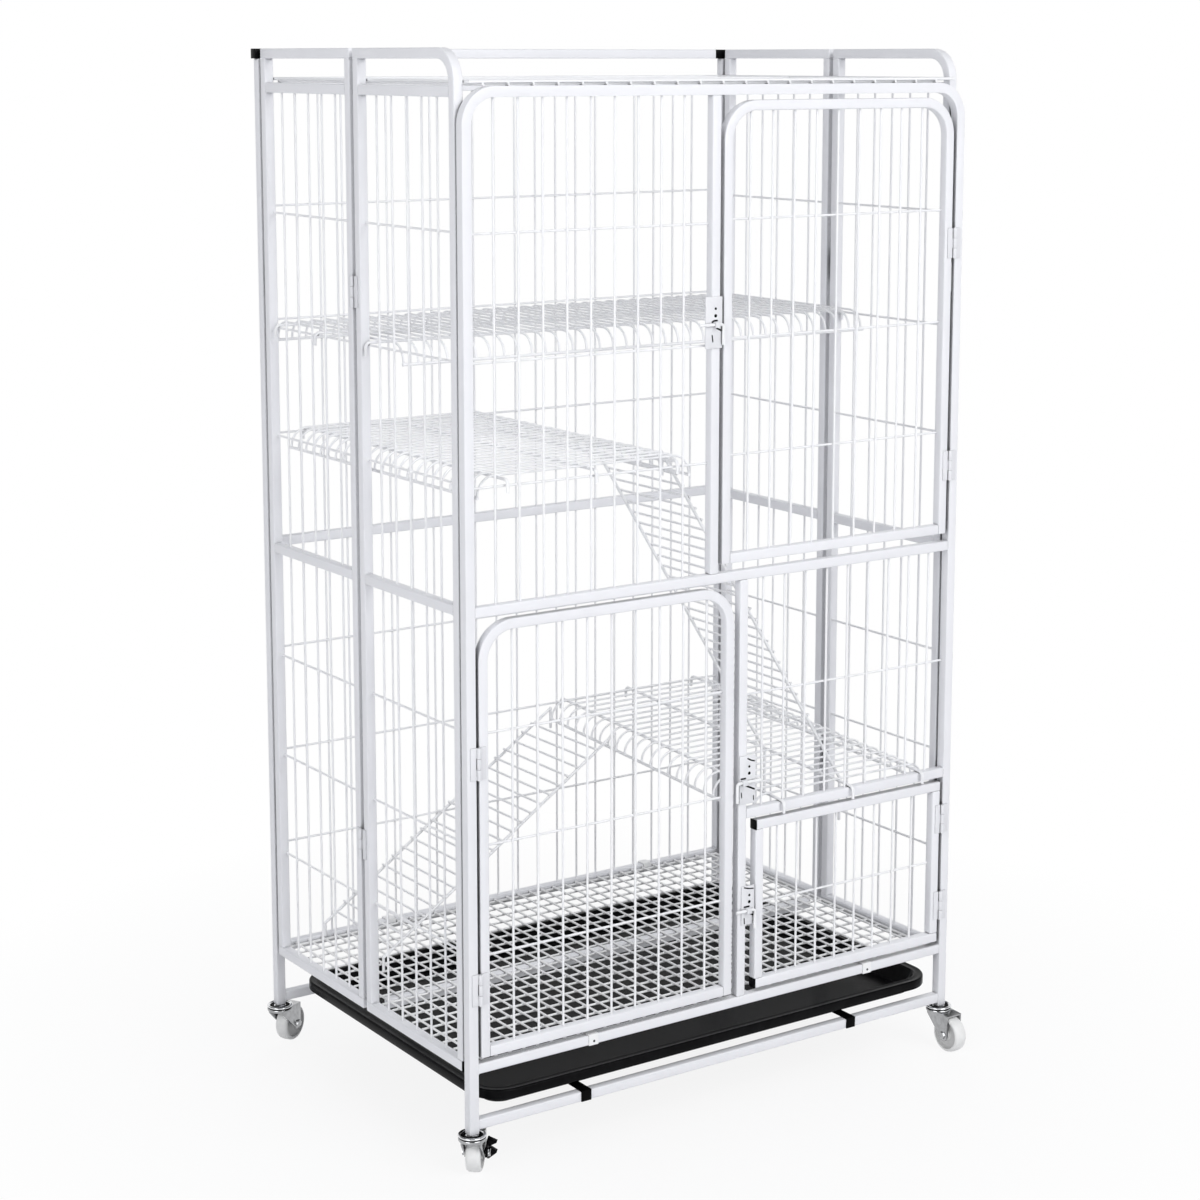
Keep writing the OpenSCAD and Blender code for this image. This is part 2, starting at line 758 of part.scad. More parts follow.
// Quarter turn of wire that starts at the origin along +X and turns down
module down_bend(r, d) {
  translate([0, 0, -r]) rotate([90, 0, 0]) rotate_extrude(angle = 90) translate([r, 0]) circle(d = d);
}

// Wire along X whose two ends curl down, between its outermost points
module curled_wire(x0, x1, y, z) {
  a = x0 + curl_r + wire_d / 2;
  b = x1 - curl_r - wire_d / 2;
  translate([0, y, z]) {
    wire_x(a, b, 0, 0);
    translate([b, 0, 0]) down_bend(curl_r, wire_d);
    translate([a, 0, 0]) mirror([1, 0, 0]) down_bend(curl_r, wire_d);
  }
}

// Support wire along X that hooks down at both ends
module hooked_wire(x0, x1, y, z) {
  translate([0, y, z]) {
    wire_x(x0, x1, 0, 0, rod_d);
    for (e = [0, 1]) translate([e ? x1 : x0, 0, 0]) mirror([e ? 0 : 1, 0, 0]) {
      down_bend(hook_r, rod_d);
      translate([hook_r, 0, -hook_r - hook_tail]) cylinder(h = hook_tail, d = rod_d);
    }
  }
}

// Shelf with its surface wires along X, level at height z
// The supports run along Y at the stations xs and hook at ya and yb
module shelf_x(x0, x1, y0, y1, z, xs, ya, yb) {
  for (y = [y0 : shelf_pitch : y1]) curled_wire(x0, x1, y, z);
  for (x = [x0 + wire_d / 2, x1 - wire_d / 2])
    wire_y(x, y0 - wire_d / 2, y1 + wire_d / 2, z - rim_drop, rod_d);
  for (x = xs)
    translate([x, 0, z - shelf_stack]) rotate([0, 0, 90]) hooked_wire(ya, yb, 0, 0);
}

// Surface wires front to back, supports side to side on the side panels' wires
module top_shelf() {
  y1 = rear_row_y - wire_d / 2 - top_shelf_rear_gap;
  x0 = row_off + wire_d / 2 + shelf_side_gap;
  x1 = frame_w - x0;
  color(white) cage() {
    translate([0, 0, top_shelf_z]) rotate([0, 0, 90]) mirror([0, 1, 0])
      for (x = [x0 : shelf_pitch : x1]) curled_wire(top_shelf_y0, y1, x, 0);
    for (y = [top_shelf_y0 + wire_d / 2, y1 - wire_d / 2])
      wire_x(x0 - wire_d / 2, x1 + wire_d / 2, y, top_shelf_z - rim_drop, rod_d);
    for (y = top_supports)
      hooked_wire(row_off, frame_w - row_off, y, top_support_z);
  }
}

module middle_shelf() {
  color(white) cage() shelf_x(mid_shelf_x0, mid_shelf_x1, shelf_first, shelf_y_end,
    mid_shelf_z, mid_supports, row_off, rear_row_y);
}

// The low shelf hangs from the hook bar and falls towards the front
module low_shelf() {
  color(white) cage() translate([0, 0, low_front_z]) rotate([low_slope, 0, 0])
    shelf_x(low_shelf_x0, low_shelf_x1, shelf_first, shelf_y_end,
      shelf_stack, low_supports, 0, low_run / cos(low_slope));
}

// Ladder side wire: hook tail, slope and straight leg
module ladder_rail(top, foot, tail, leg) {
  run = foot[0] - top[0];
  fall = top[1] - foot[1];
  translate([top[0], 0, top[1] - tail]) cylinder(h = tail, d = rod_d);
  translate([top[0], 0, top[1]]) rotate([0, 90 + atan2(fall, run), 0])
    cylinder(h = norm([run, fall]), d = rod_d);
  for (p = [top, foot]) translate([p[0], 0, p[1]]) sphere(d = rod_d * 1.15);
  translate([foot[0], 0, foot[1] - leg]) cylinder(h = leg, d = rod_d);
}

// Ladder between two side wires, with its rungs on the upper side
module ladder(top, foot, tail, leg, y0, first, count) {
  run = foot[0] - top[0];
  fall = top[1] - foot[1];
  over = (rod_d + wire_d) / 2 + weld_gap;
  w = ladder_spans * shelf_pitch;
  side = run > 0 ? 1 : -1;
  for (y = [y0, y0 + w]) translate([0, y, 0]) ladder_rail(top, foot, tail, leg);
  translate([top[0], 0, top[1]]) rotate([0, 90 + atan2(fall, run), 0])
    for (i = [0 : count - 1])
      translate([-side * over, y0 - rod_d / 2, first + i * rung_pitch]) rotate([-90, 0, 0])
        cylinder(h = w + rod_d, d = wire_d);
}

module upper_ladder() {
  rim_z = mid_shelf_z - rim_drop;
  x = mid_shelf_x1 - wire_d / 2 - rod_d - rest_gap;
  top = [x, rim_z + ladder_rise];
  foot = [upper_ladder_foot_x, upper_ladder_foot_z];
  len = norm(foot - top);
  clear = (low_rear_z - upper_ladder_foot_z) * len / (top[1] - foot[1]);
  color(white) cage() ladder(top, foot, ladder_tail, upper_ladder_leg,
    shelf_first + (upper_ladder_slot + 0.5) * shelf_pitch,
    rung_pitch, floor((len - clear - rung_pitch) / rung_pitch));
}

module lower_ladder() {
  last = floor((shelf_y_end - shelf_first) / shelf_pitch);
  y = shelf_first + (last + 0.5 - lower_ladder_gaps - ladder_spans) * shelf_pitch;
  surface = low_front_z + shelf_stack + y * tan(low_slope);
  x = low_shelf_x0 + wire_d / 2 + rod_d + rest_gap;
  top = [x, surface - rim_drop + ladder_rise];
  foot = [lower_ladder_foot_x, floor_top + lower_ladder_bend];
  len = norm(foot - top);
  color(white) cage() ladder(top, foot, ladder_tail, lower_ladder_bend - rest_gap,
    y, 2 * rung_pitch, floor(len / rung_pitch) - 2);
}

// Hinge leaves and pins of the three doors
module right_hinges(door_z, door_h, ends) {
  for (z = [ends[0], door_h - ends[1]]) translate([door_pin_x, door_y, door_z + z]) children();
}

module left_hinges(door_z, door_h, ends) {
  for (z = [ends[0], door_h - ends[1]]) translate([left_pin_x, door_y, door_z + z]) mirror([1, 0, 0]) children();
}

module frame_hinge_leaves() {
  color(white) cage() {
    right_hinges(upper_door_z, upper_door_h, upper_hinge_z) mirror([1, 0, 0]) hinge_a();
    right_hinges(small_door_z, small_door_h, small_hinge_z) mirror([1, 0, 0]) hinge_a();
    left_hinges(left_door_z, left_door_h, left_hinge_z) mirror([1, 0, 0]) hinge_a();
  }
}

module hinge_pins() {
  color(steel) cage() {
    right_hinges(upper_door_z, upper_door_h, upper_hinge_z) hinge_pin();
    right_hinges(small_door_z, small_door_h, small_hinge_z) hinge_pin();
    left_hinges(left_door_z, left_door_h, left_hinge_z) hinge_pin();
  }
}

// Door frame: one bent hoop closed by a bar at the foot
module door_frame(x, z, w, h) {
  translate([x, 0, z]) {
    hoop(w, h, door_corner_r);
    tube_x(tube + weld_gap, w - tube - weld_gap, 0, 0);
  }
}

module door_wires(x, z, w, h, spacing, rows, corner_r = door_corner_r - tube) {
  front_grille(x + tube, x + w - tube, z + tube, z + h - tube, spacing[0], spacing[1],
    [for (r = rows) z + r], corner_r);
}

module upper_door_frame() {
  color(white) cage() door_frame(upper_door_x, upper_door_z, upper_door_w, upper_door_h);
}

module upper_door_wires() {
  color(white) cage() door_wires(upper_door_x, upper_door_z, upper_door_w, upper_door_h,
    upper_door_wires, upper_door_rows);
}

module upper_door_leaves() {
  color(white) cage() right_hinges(upper_door_z, upper_door_h, upper_hinge_z)
    mirror([1, 0, 0]) hinge_b();
}

module left_door_frame() {
  color(white) cage() door_frame(left_door_x, left_door_z, left_door_w, left_door_h);
}

module left_door_wires() {
  color(white) cage() door_wires(left_door_x, left_door_z, left_door_w, left_door_h,
    left_door_wires, left_door_rows);
}

module left_door_leaves() {
  color(white) cage() left_hinges(left_door_z, left_door_h, left_hinge_z)
    mirror([1, 0, 0]) hinge_b();
}

// The small door is welded from four straight tubes with plugged rails
module small_door_frame() {
  x0 = small_door_x;
  x1 = x0 + small_door_w;
  z1 = small_door_z + small_door_h;
  color(white) cage() {
    for (z = [small_door_z, z1 - tube])
      tube_x(x0 + cap_t + weld_gap, x1, 0, z);
    for (x = [x0, x1 - tube])
      tube_z(x, 0, small_door_z + tube + weld_gap, z1 - tube - weld_gap);
  }
}

module small_door_wires() {
  color(white) cage() door_wires(small_door_x, small_door_z, small_door_w, small_door_h,
    small_door_wires, small_door_rows, 0);
}

module small_door_leaves() {
  color(white) cage() right_hinges(small_door_z, small_door_h, small_hinge_z)
    mirror([1, 0, 0]) hinge_b();
}

module small_door_caps() {
  color(black) cage() for (z = [small_door_z, small_door_z + small_door_h - tube])
    translate([small_door_x, 0, z]) cube([cap_t, tube, tube]);
}

// Latch plate with its bolt guide, two screws' holes and the slots beside the guide
// The handle's place is hx, and side turns the guide to its left (0) or right (1)
module latch_plate(x, z, w, h, bz, hx, side) {
  gx = side ? hx + guide_off : hx - guide_off - guide_len;
  gy = -strap_t - bolt_gap - bolt_d / 2;
  gh = bolt_d / 2 + 1.6;
  difference() {
    union() {
      translate([x, -strap_t, z]) cube([w, strap_t, h]);
      translate([gx, gy - gh, z + bz - gh]) cube([guide_len, gh - gy - strap_t / 2, 2 * gh]);
    }
    wire_x(gx - 1, gx + guide_len + 1, gy, z + bz, bolt_d + 2 * guide_fit);
    for (k = [0, 1])
      translate([x + w * 0.6, 1, z + bz + 11 + k * 9]) rotate([90, 0, 0])
        cylinder(h = 4, r = 1.8 - 0.5 * k);
  }
}

module latch_plates() {
  color(white) cage() {
    latch_plate(upper_mullion_x - 11, upper_latch_z, latch_w, latch_h, latch_bolt_z,
      upper_handle_x, 0);
    latch_plate(lower_mullion_x, left_latch_z, latch_w, latch_h, latch_bolt_z,
      left_handle_x, 1);
    latch_plate(lower_mullion_x + 5, small_latch_z, small_latch_w, small_latch_h,
      small_latch_bolt_z, small_handle_x, 0);
  }
}

// Bolt of bent wire, drawn back, with its handle turned down
module bolt(x, z, side, throw) {
  r = bolt_d;
  translate([x, -strap_t - bolt_gap - bolt_d / 2, z]) mirror([side, 0, 0]) {
    wire_x(-guide_off - guide_len - throw - 1, -r, 0, 0, bolt_d);
    translate([-r, 0, 0]) down_bend(r, bolt_d);
    translate([0, 0, -r - handle_len]) cylinder(h = handle_len, d = bolt_d);
  }
}

module upper_bolt() {
  color(white) cage() bolt(upper_handle_x, upper_latch_z + latch_bolt_z, 0, bolt_throw);
}

module left_bolt() {
  color(white) cage() bolt(left_handle_x, left_latch_z + latch_bolt_z, 1, bolt_throw);
}

module small_bolt() {
  color(white) cage()
    bolt(small_handle_x, small_latch_z + small_latch_bolt_z, 0, small_bolt_throw);
}

// Caster parts, drawn with the swivel on the Z axis and the trail along +X
module at_caster(i) {
  translate([caster_at[i][0], caster_at[i][1], 0]) rotate([0, 0, caster_heading[i]]) children();
}

module stem() {
  z = disc_top + race_gap;
  rotate_extrude($fn = 64) polygon([[0, z], [race_r, z], [race_r, z + 2], [race_r - 1, z + 2.6],
    [race_r - 5, z + cup_h], [0, z + cup_h]]);
  translate([0, 0, disc_top - disc_h - 1.5]) cylinder(h = disc_h + cup_h + stem_len, r = stem_r);
  translate([0, 0, disc_top - disc_h - 4]) cylinder(h = 3, r = stem_r + 2);
}

// Fork with its axle; the nut on the pedal's side stands off by the pedal
module fork(pedal_side) {
  out = fork_in + cheek_t;
  pedal_room = pedal_t + 2 * axle_gap;
  difference() {
    union() {
      rotate_extrude($fn = 64) polygon([[0, disc_top - disc_h], [race_r - 1, disc_top - disc_h],
        [race_r - 0.4, disc_top - disc_h + 1], [race_r - 0.4, disc_top - 1],
        [race_r - 1, disc_top], [0, disc_top]]);
      translate([0, -out, disc_top - disc_h]) cube([caster_trail + 8, 2 * out, 2]);
      for (s = [-1, 1]) translate([0, s * (fork_in + cheek_t / 2), 0]) rotate([90, 0, 0])
        translate([0, 0, -cheek_t / 2]) linear_extrude(cheek_t) union() {
          polygon([[-10, disc_top - 1], [-9, disc_top - 8], [caster_trail - 9, axle_z - 2],
            [caster_trail + 7.2, axle_z - 2], [caster_trail + 8, disc_top - disc_h],
            [caster_trail + 8, disc_top - disc_h + 2], [race_r - 3, disc_top - 1]]);
          translate([caster_trail, axle_z]) circle(7.4);
        }
      translate([caster_trail, 0, axle_z]) rotate([90, 0, 0]) {
        translate([0, 0, -out - pedal_room]) cylinder(h = 2 * (out + pedal_room), r = axle_r);
        for (s = [-1, 1]) rotate([0, s < 0 ? 180 : 0, 0])
          translate([0, 0, out + (s == pedal_side ? pedal_room : 0)])
            linear_extrude(3.2) circle(d = nut_af / cos(30), $fn = 6);
      }
    }
    translate([0, 0, disc_top - disc_h - 1]) cylinder(h = disc_h + 3, r = stem_r + stem_fit);
  }
}

module wheel() {
  r = wheel_d / 2;
  h = wheel_w / 2;
  translate([caster_trail, 0, axle_z]) rotate([90, 0, 0]) rotate_extrude($fn = 72) polygon([
    [axle_r + axle_fit, -h], [8, -h], [9, -h + 2.5], [r - 6, -h + 2.5], [r - 5, -h + 0.5],
    [r - 2, -h + 0.5], [r, -h + 3], [r, h - 3], [r - 2, h - 0.5], [r - 5, h - 0.5],
    [r - 6, h - 2.5], [9, h - 2.5], [8, h], [axle_r + axle_fit, h]]);
}

// Brake pedal that turns on the axle's end, with two lobes to tread on
module pedal(side) {
  y0 = fork_in + cheek_t + axle_gap;
  z0 = axle_z;
  translate([caster_trail, 0, z0]) mirror([0, side > 0 ? 1 : 0, 0]) difference() {
    union() {
      translate([0, y0 + pedal_t, 0]) rotate([90, 0, 0]) linear_extrude(pedal_t)
        polygon([[-5.5, -5], [2, -7.5], [7, -12], [18, -12], [19, 13], [7, 13], [-4, 6.5]]);
      for (l = [[4, 13, 9], [-12, 2, -4]])
        translate([7, y0 + pedal_t, 0]) rotate([90, 0, 90]) linear_extrude(11)
          polygon([[0, l[0]], [pedal_reach, l[2]], [0, l[1]]]);
    }
    rotate([90, 0, 0]) translate([0, 0, -y0 - pedal_t - pedal_reach - 1])
      cylinder(h = pedal_t + pedal_reach + 2, r = axle_r + axle_fit);
    rotate([90, 0, 0]) translate([0, 0, -y0 - pedal_t - pedal_reach - 1])
      cylinder(h = pedal_reach + 1, r = nut_af / 2 + 1.4);
  }
}

module caster_stems() {
  color(steel) cage() for (i = [0 : 3]) at_caster(i) stem();
}

module fork_front_left() {
  color(steel) cage() at_caster(0) fork(1);
}

module fork_front_right() {
  color(steel) cage() at_caster(1) fork(0);
}

module fork_rear_left() {
  color(steel) cage() at_caster(2) fork(0);
}

module fork_rear_right() {
  color(steel) cage() at_caster(3) fork(-1);
}

module wheel_front_left() {
  color(white) cage() at_caster(0) wheel();
}

module wheel_front_right() {
  color(white) cage() at_caster(1) wheel();
}

module wheel_rear_left() {
  color(white) cage() at_caster(2) wheel();
}

module wheel_rear_right() {
  color(white) cage() at_caster(3) wheel();
}

module pedal_front_left() {
  color(black) cage() at_caster(0) pedal(1);
}

module pedal_rear_right() {
  color(black) cage() at_caster(3) pedal(-1);
}

front_hoop();
front_mid_bar();
front_bottom_bar();
front_lower_rail();
upper_mullion();
lower_mullion();
hook_bar();
front_upper_wires();
front_lower_wires();
rear_posts();
rear_bars();
rear_wires();
left_front_half();
left_rear_half();
right_front_half();
right_rear_half();
left_front_wires();
left_rear_wires();
right_front_wires();
right_rear_wires();
fold_hinges();
corner_hinges();
tube_caps();
roof_panel();
floor_grid();
floor_stiffener();
tray_runners();
tray();
top_shelf();
middle_shelf();
low_shelf();
upper_ladder();
lower_ladder();
frame_hinge_leaves();
hinge_pins();
upper_door_frame();
upper_door_wires();
upper_door_leaves();
left_door_frame();
left_door_wires();
left_door_leaves();
small_door_frame();
small_door_wires();
small_door_leaves();
small_door_caps();
latch_plates();
upper_bolt();
left_bolt();
small_bolt();
caster_stems();
fork_front_left();
fork_front_right();
fork_rear_left();
fork_rear_right();
wheel_front_left();
wheel_front_right();
wheel_rear_left();
wheel_rear_right();
pedal_front_left();
pedal_rear_right();
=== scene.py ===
"""Looks of a white folding cat playpen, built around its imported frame."""

import json
import math

import bmesh
import bpy
import numpy as np
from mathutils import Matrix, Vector


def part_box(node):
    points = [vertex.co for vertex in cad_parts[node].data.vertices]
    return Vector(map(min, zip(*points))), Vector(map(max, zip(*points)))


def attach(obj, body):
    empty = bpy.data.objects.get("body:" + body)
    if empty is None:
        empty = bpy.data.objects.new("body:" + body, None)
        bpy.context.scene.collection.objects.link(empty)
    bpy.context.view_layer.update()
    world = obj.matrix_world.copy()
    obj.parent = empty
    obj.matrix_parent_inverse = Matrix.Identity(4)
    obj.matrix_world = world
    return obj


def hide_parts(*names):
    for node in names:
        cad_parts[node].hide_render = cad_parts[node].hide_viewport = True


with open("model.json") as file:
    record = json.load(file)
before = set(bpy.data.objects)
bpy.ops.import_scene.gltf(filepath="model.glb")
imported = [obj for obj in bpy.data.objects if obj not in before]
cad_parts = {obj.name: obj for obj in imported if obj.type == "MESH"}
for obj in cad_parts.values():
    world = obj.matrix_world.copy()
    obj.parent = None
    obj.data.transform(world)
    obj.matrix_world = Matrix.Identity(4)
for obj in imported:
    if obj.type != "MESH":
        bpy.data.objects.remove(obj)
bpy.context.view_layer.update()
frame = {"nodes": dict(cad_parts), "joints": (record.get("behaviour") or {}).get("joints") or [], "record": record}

bl_info = {
    "name": "Cat Playpen",
    "version": (1, 0, 0),
    "blender": (4, 5, 0),
    "location": "View3D > Sidebar > Playpen",
    "description": "Finishes, rounded tubes, welds, casters and studio of a folding cat playpen",
    "category": "Object",
}

# Solids of square tube, which get rounded edges
TUBE_NODES = (
    "front_hoop", "front_mid_bar", "front_bottom_bar", "front_lower_rail",
    "upper_mullion", "lower_mullion", "hook_bar", "rear_posts", "rear_bars",
    "left_front_half", "left_rear_half", "right_front_half", "right_rear_half",
    "floor_stiffener", "upper_door_frame", "left_door_frame", "small_door_frame",
)
# Panels whose straight wires cross and are welded
PANEL_NODES = (
    "front_upper_wires", "front_lower_wires", "rear_wires", "left_front_wires",
    "left_rear_wires", "right_front_wires", "right_rear_wires", "roof_panel", "floor_grid",
    "upper_door_wires", "left_door_wires", "small_door_wires",
)
SHELF_NODES = ("top_shelf", "middle_shelf", "low_shelf")
LADDER_NODES = ("upper_ladder", "lower_ladder")
SHEET_NODES = (
    "fold_hinges", "corner_hinges", "frame_hinge_leaves", "upper_door_leaves",
    "left_door_leaves", "small_door_leaves", "latch_plates", "tray_runners",
    "tube_caps", "small_door_caps", "pedal_front_left", "pedal_rear_right",
)
CASTERS = ("front_left", "front_right", "rear_left", "rear_right")

# Lengths in metres
TUBE = 0.013
WIRE_RADIUS = 0.0015
# Where the frame's front left corner is, in millimetres from the origin
CORNER_X = -390
CORNER_Y = -267


# ---------------------------------------------------------------- settings

class PlaypenFrameSettings(bpy.types.PropertyGroup):
    """Sizes of the frame's finish"""
    tube_radius: bpy.props.FloatProperty(
        name="Tube edge", description="Outside radius of the square tube's edges",
        default=0.0016, min=0.0005, max=0.003, unit="LENGTH")
    sheet_radius: bpy.props.FloatProperty(
        name="Sheet edge", description="Rounding of hinge leaves, plates and caps",
        default=0.0004, min=0.0001, max=0.001, unit="LENGTH")
    weld_radius: bpy.props.FloatProperty(
        name="Weld spot", description="Radius of the welded spots where wires cross",
        default=0.0022, min=0.0015, max=0.004, unit="LENGTH")
    bead_radius: bpy.props.FloatProperty(
        name="Weld bead", description="Radius of the beads around the tube joints",
        default=0.0011, min=0.0005, max=0.003, unit="LENGTH")
    bead_step: bpy.props.FloatProperty(
        name="Bead spacing", description="Distance between the ripples of a weld bead",
        default=0.0019, min=0.001, max=0.005, unit="LENGTH")


class PlaypenFinishSettings(bpy.types.PropertyGroup):
    """Colours of the finishes"""
    coat_colour: bpy.props.FloatVectorProperty(
        name="Powder coat", description="Colour of the white powder coat", subtype="COLOR",
        size=3, min=0.0, max=1.0, default=(0.875, 0.878, 0.905))
    wheel_colour: bpy.props.FloatVectorProperty(
        name="Wheel", description="Colour of the nylon wheels", subtype="COLOR",
        size=3, min=0.0, max=1.0, default=(0.88, 0.88, 0.87))
    zinc_colour: bpy.props.FloatVectorProperty(
        name="Zinc", description="Colour of the plated fork steel", subtype="COLOR",
        size=3, min=0.0, max=1.0, default=(0.80, 0.81, 0.83))
    tray_colour: bpy.props.FloatVectorProperty(
        name="Tray", description="Colour of the moulded black parts", subtype="COLOR",
        size=3, min=0.0, max=1.0, default=(0.0034, 0.0034, 0.0038))


class PlaypenStudioSettings(bpy.types.PropertyGroup):
    """Camera and light"""
    focal_length: bpy.props.FloatProperty(
        name="Focal length", description="Focal length in millimetres on a 36 mm sensor",
        default=75.18, min=20.0, max=200.0)
    key_power: bpy.props.FloatProperty(
        name="Key light", description="Power of the large light in front",
        default=121.0, min=0.0, max=1000.0)
    fill_power: bpy.props.FloatProperty(
        name="Fill light", description="Power of the light on the left",
        default=58.0, min=0.0, max=1000.0)
    back_power: bpy.props.FloatProperty(
        name="Back light", description="Power of the light behind, on the right",
        default=44.0, min=0.0, max=1000.0)
    sky: bpy.props.FloatProperty(
        name="Sky", description="Strength of the even light from all sides",
        default=0.37, min=0.0, max=2.0)


# ---------------------------------------------------------------- mesh helpers

# Angles in degrees: triangles flatter to each other than the first are joined before their
# edges are rounded, edges sharper than the second are rounded
FLAT_ANGLE = 0.6
EDGE_ANGLE = 40
# Edges sharper than these stay sharp in the shading
SMOOTH_SLOTS = 40
SMOOTH_ROUNDED = 50
SMOOTH_WHEEL = 60
SMOOTH_TRAY = 70


def finish_piece(obj, body, replaced=(), material=None):
    """Gives a finished mesh its material, sets it on the body it rides on and hides the solids it stands for."""
    if material is not None:
        obj.data.materials.clear()
        obj.data.materials.append(material)
        for polygon in obj.data.polygons:
            polygon.material_index = 0
    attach(obj, body)
    if replaced:
        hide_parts(*replaced)
    return obj


def new_object(name, mesh):
    obj = bpy.data.objects.new(name, mesh)
    bpy.context.scene.collection.objects.link(obj)
    return obj


def object_from(bm, name):
    """A new object that holds a finished bmesh."""
    mesh = bpy.data.meshes.new(name)
    bm.to_mesh(mesh)
    bm.free()
    return new_object(name, mesh)


def merged_copy(node, tolerance=0.00001):
    """A bmesh of a solid's surface with its loose triangles joined."""
    bm = bmesh.new()
    bm.from_mesh(frame["nodes"][node].data)
    bmesh.ops.remove_doubles(bm, verts=bm.verts, dist=tolerance)
    return bm


def body_of(node):
    for body, members in frame["record"]["behaviour"]["bodies"].items():
        if node in members:
            return body
    raise RuntimeError(f"no body holds {node}")


def slot_of(node):
    for entry in frame["record"]["subparts"]:
        if entry["node"] == node:
            return entry["material_slot"]
    raise RuntimeError(f"no slot for {node}")


def apply_modifiers(obj):
    """Turns an object with live modifiers into one with a plain mesh."""
    graph = bpy.context.evaluated_depsgraph_get()
    mesh = bpy.data.meshes.new_from_object(obj.evaluated_get(graph))
    obj.modifiers.clear()
    old = obj.data
    obj.data = mesh
    bpy.data.meshes.remove(old)
    mesh.name = obj.name
    return obj


def rounded_copy(node, name, radius, segments, material):
    """A copy of a solid with its sharp edges rounded, which stands for that solid."""
    bm = merged_copy(node)
    bmesh.ops.dissolve_limit(bm, angle_limit=math.radians(FLAT_ANGLE), verts=bm.verts,
                             edges=bm.edges)
    obj = object_from(bm, name)
    bevel = obj.modifiers.new("edge", "BEVEL")
    bevel.width = radius
    bevel.segments = segments
    bevel.limit_method = "ANGLE"
    bevel.angle_limit = math.radians(EDGE_ANGLE)
    bevel.miter_outer = "MITER_ARC"
    bevel.use_clamp_overlap = True
    apply_modifiers(obj)
    smooth_by_angle(obj.data, SMOOTH_ROUNDED)
    return finish_piece(obj, body_of(node), (node,), material)


def smooth_by_angle(mesh, degrees):
    """Shades a mesh smooth apart from edges sharper than an angle."""
    bm = bmesh.new()
    bm.from_mesh(mesh)
    limit = math.radians(degrees)
    for face in bm.faces:
        face.smooth = True
    for edge in bm.edges:
        if len(edge.link_faces) != 2 or edge.calc_face_angle(0) > limit:
            edge.smooth = False
    bm.to_mesh(mesh)
    bm.free()


def islands(node):
    """Lowest and highest corner of each separate piece in a solid's mesh."""
    bm = merged_copy(node)
    bm.verts.ensure_lookup_table()
    seen, found = set(), []
    for start in bm.verts:
        if start.index in seen:
            continue
        stack = [start]
        seen.add(start.index)
        group = []
        while stack:
            vert = stack.pop()
            group.append(vert.co[:])
            for edge in vert.link_edges:
                other = edge.other_vert(vert)
                if other.index not in seen:
                    seen.add(other.index)
                    stack.append(other)
        points = np.array(group)
        found.append((points.min(axis=0), points.max(axis=0)))
    bm.free()
    return found


def lathe(name, profile, steps, centre, axis):
    """A closed ring shape turned from a profile of (radius, place along the axis)."""
    axis = Vector(axis).normalized()
    turn = axis.to_track_quat("Z", "Y").to_matrix()
    bm = bmesh.new()
    rings = []
    for k in range(steps):
        angle = 2 * math.pi * k / steps
        ring = []
        for radius, along in profile:
            point = Vector((radius * math.cos(angle), radius * math.sin(angle), along))
            ring.append(bm.verts.new(turn @ point + Vector(centre)))
        rings.append(ring)
    count = len(profile)
    for k in range(steps):
        a, b = rings[k], rings[(k + 1) % steps]
        for j in range(count):
            n = (j + 1) % count
            bm.faces.new((a[j], b[j], b[n], a[n]))
    bmesh.ops.remove_doubles(bm, verts=bm.verts, dist=0.000001)
    bmesh.ops.recalc_face_normals(bm, faces=bm.faces)
    return object_from(bm, name)


# ---------------------------------------------------------------- materials

# Share of open surroundings at which the painted shade in a gap is darkest, and at which the coat is unchanged
GAP_SHADE_DARKEST = 0.15
GAP_SHADE_CLEAR = 0.50
GAP_SHADE_SAMPLES = 4
# No colour is set brighter than this
BRIGHTEST = 0.95


def map_range(nodes, links, source, start, end, low, high):
    """Maps a value from one range to another and holds it at the ends."""
    node = nodes.new("ShaderNodeMapRange")
    for key, value in (("From Min", start), ("From Max", end), ("To Min", low), ("To Max", high)):
        node.inputs[key].default_value = value
    links.new(source, node.inputs["Value"])
    return node.outputs["Result"]


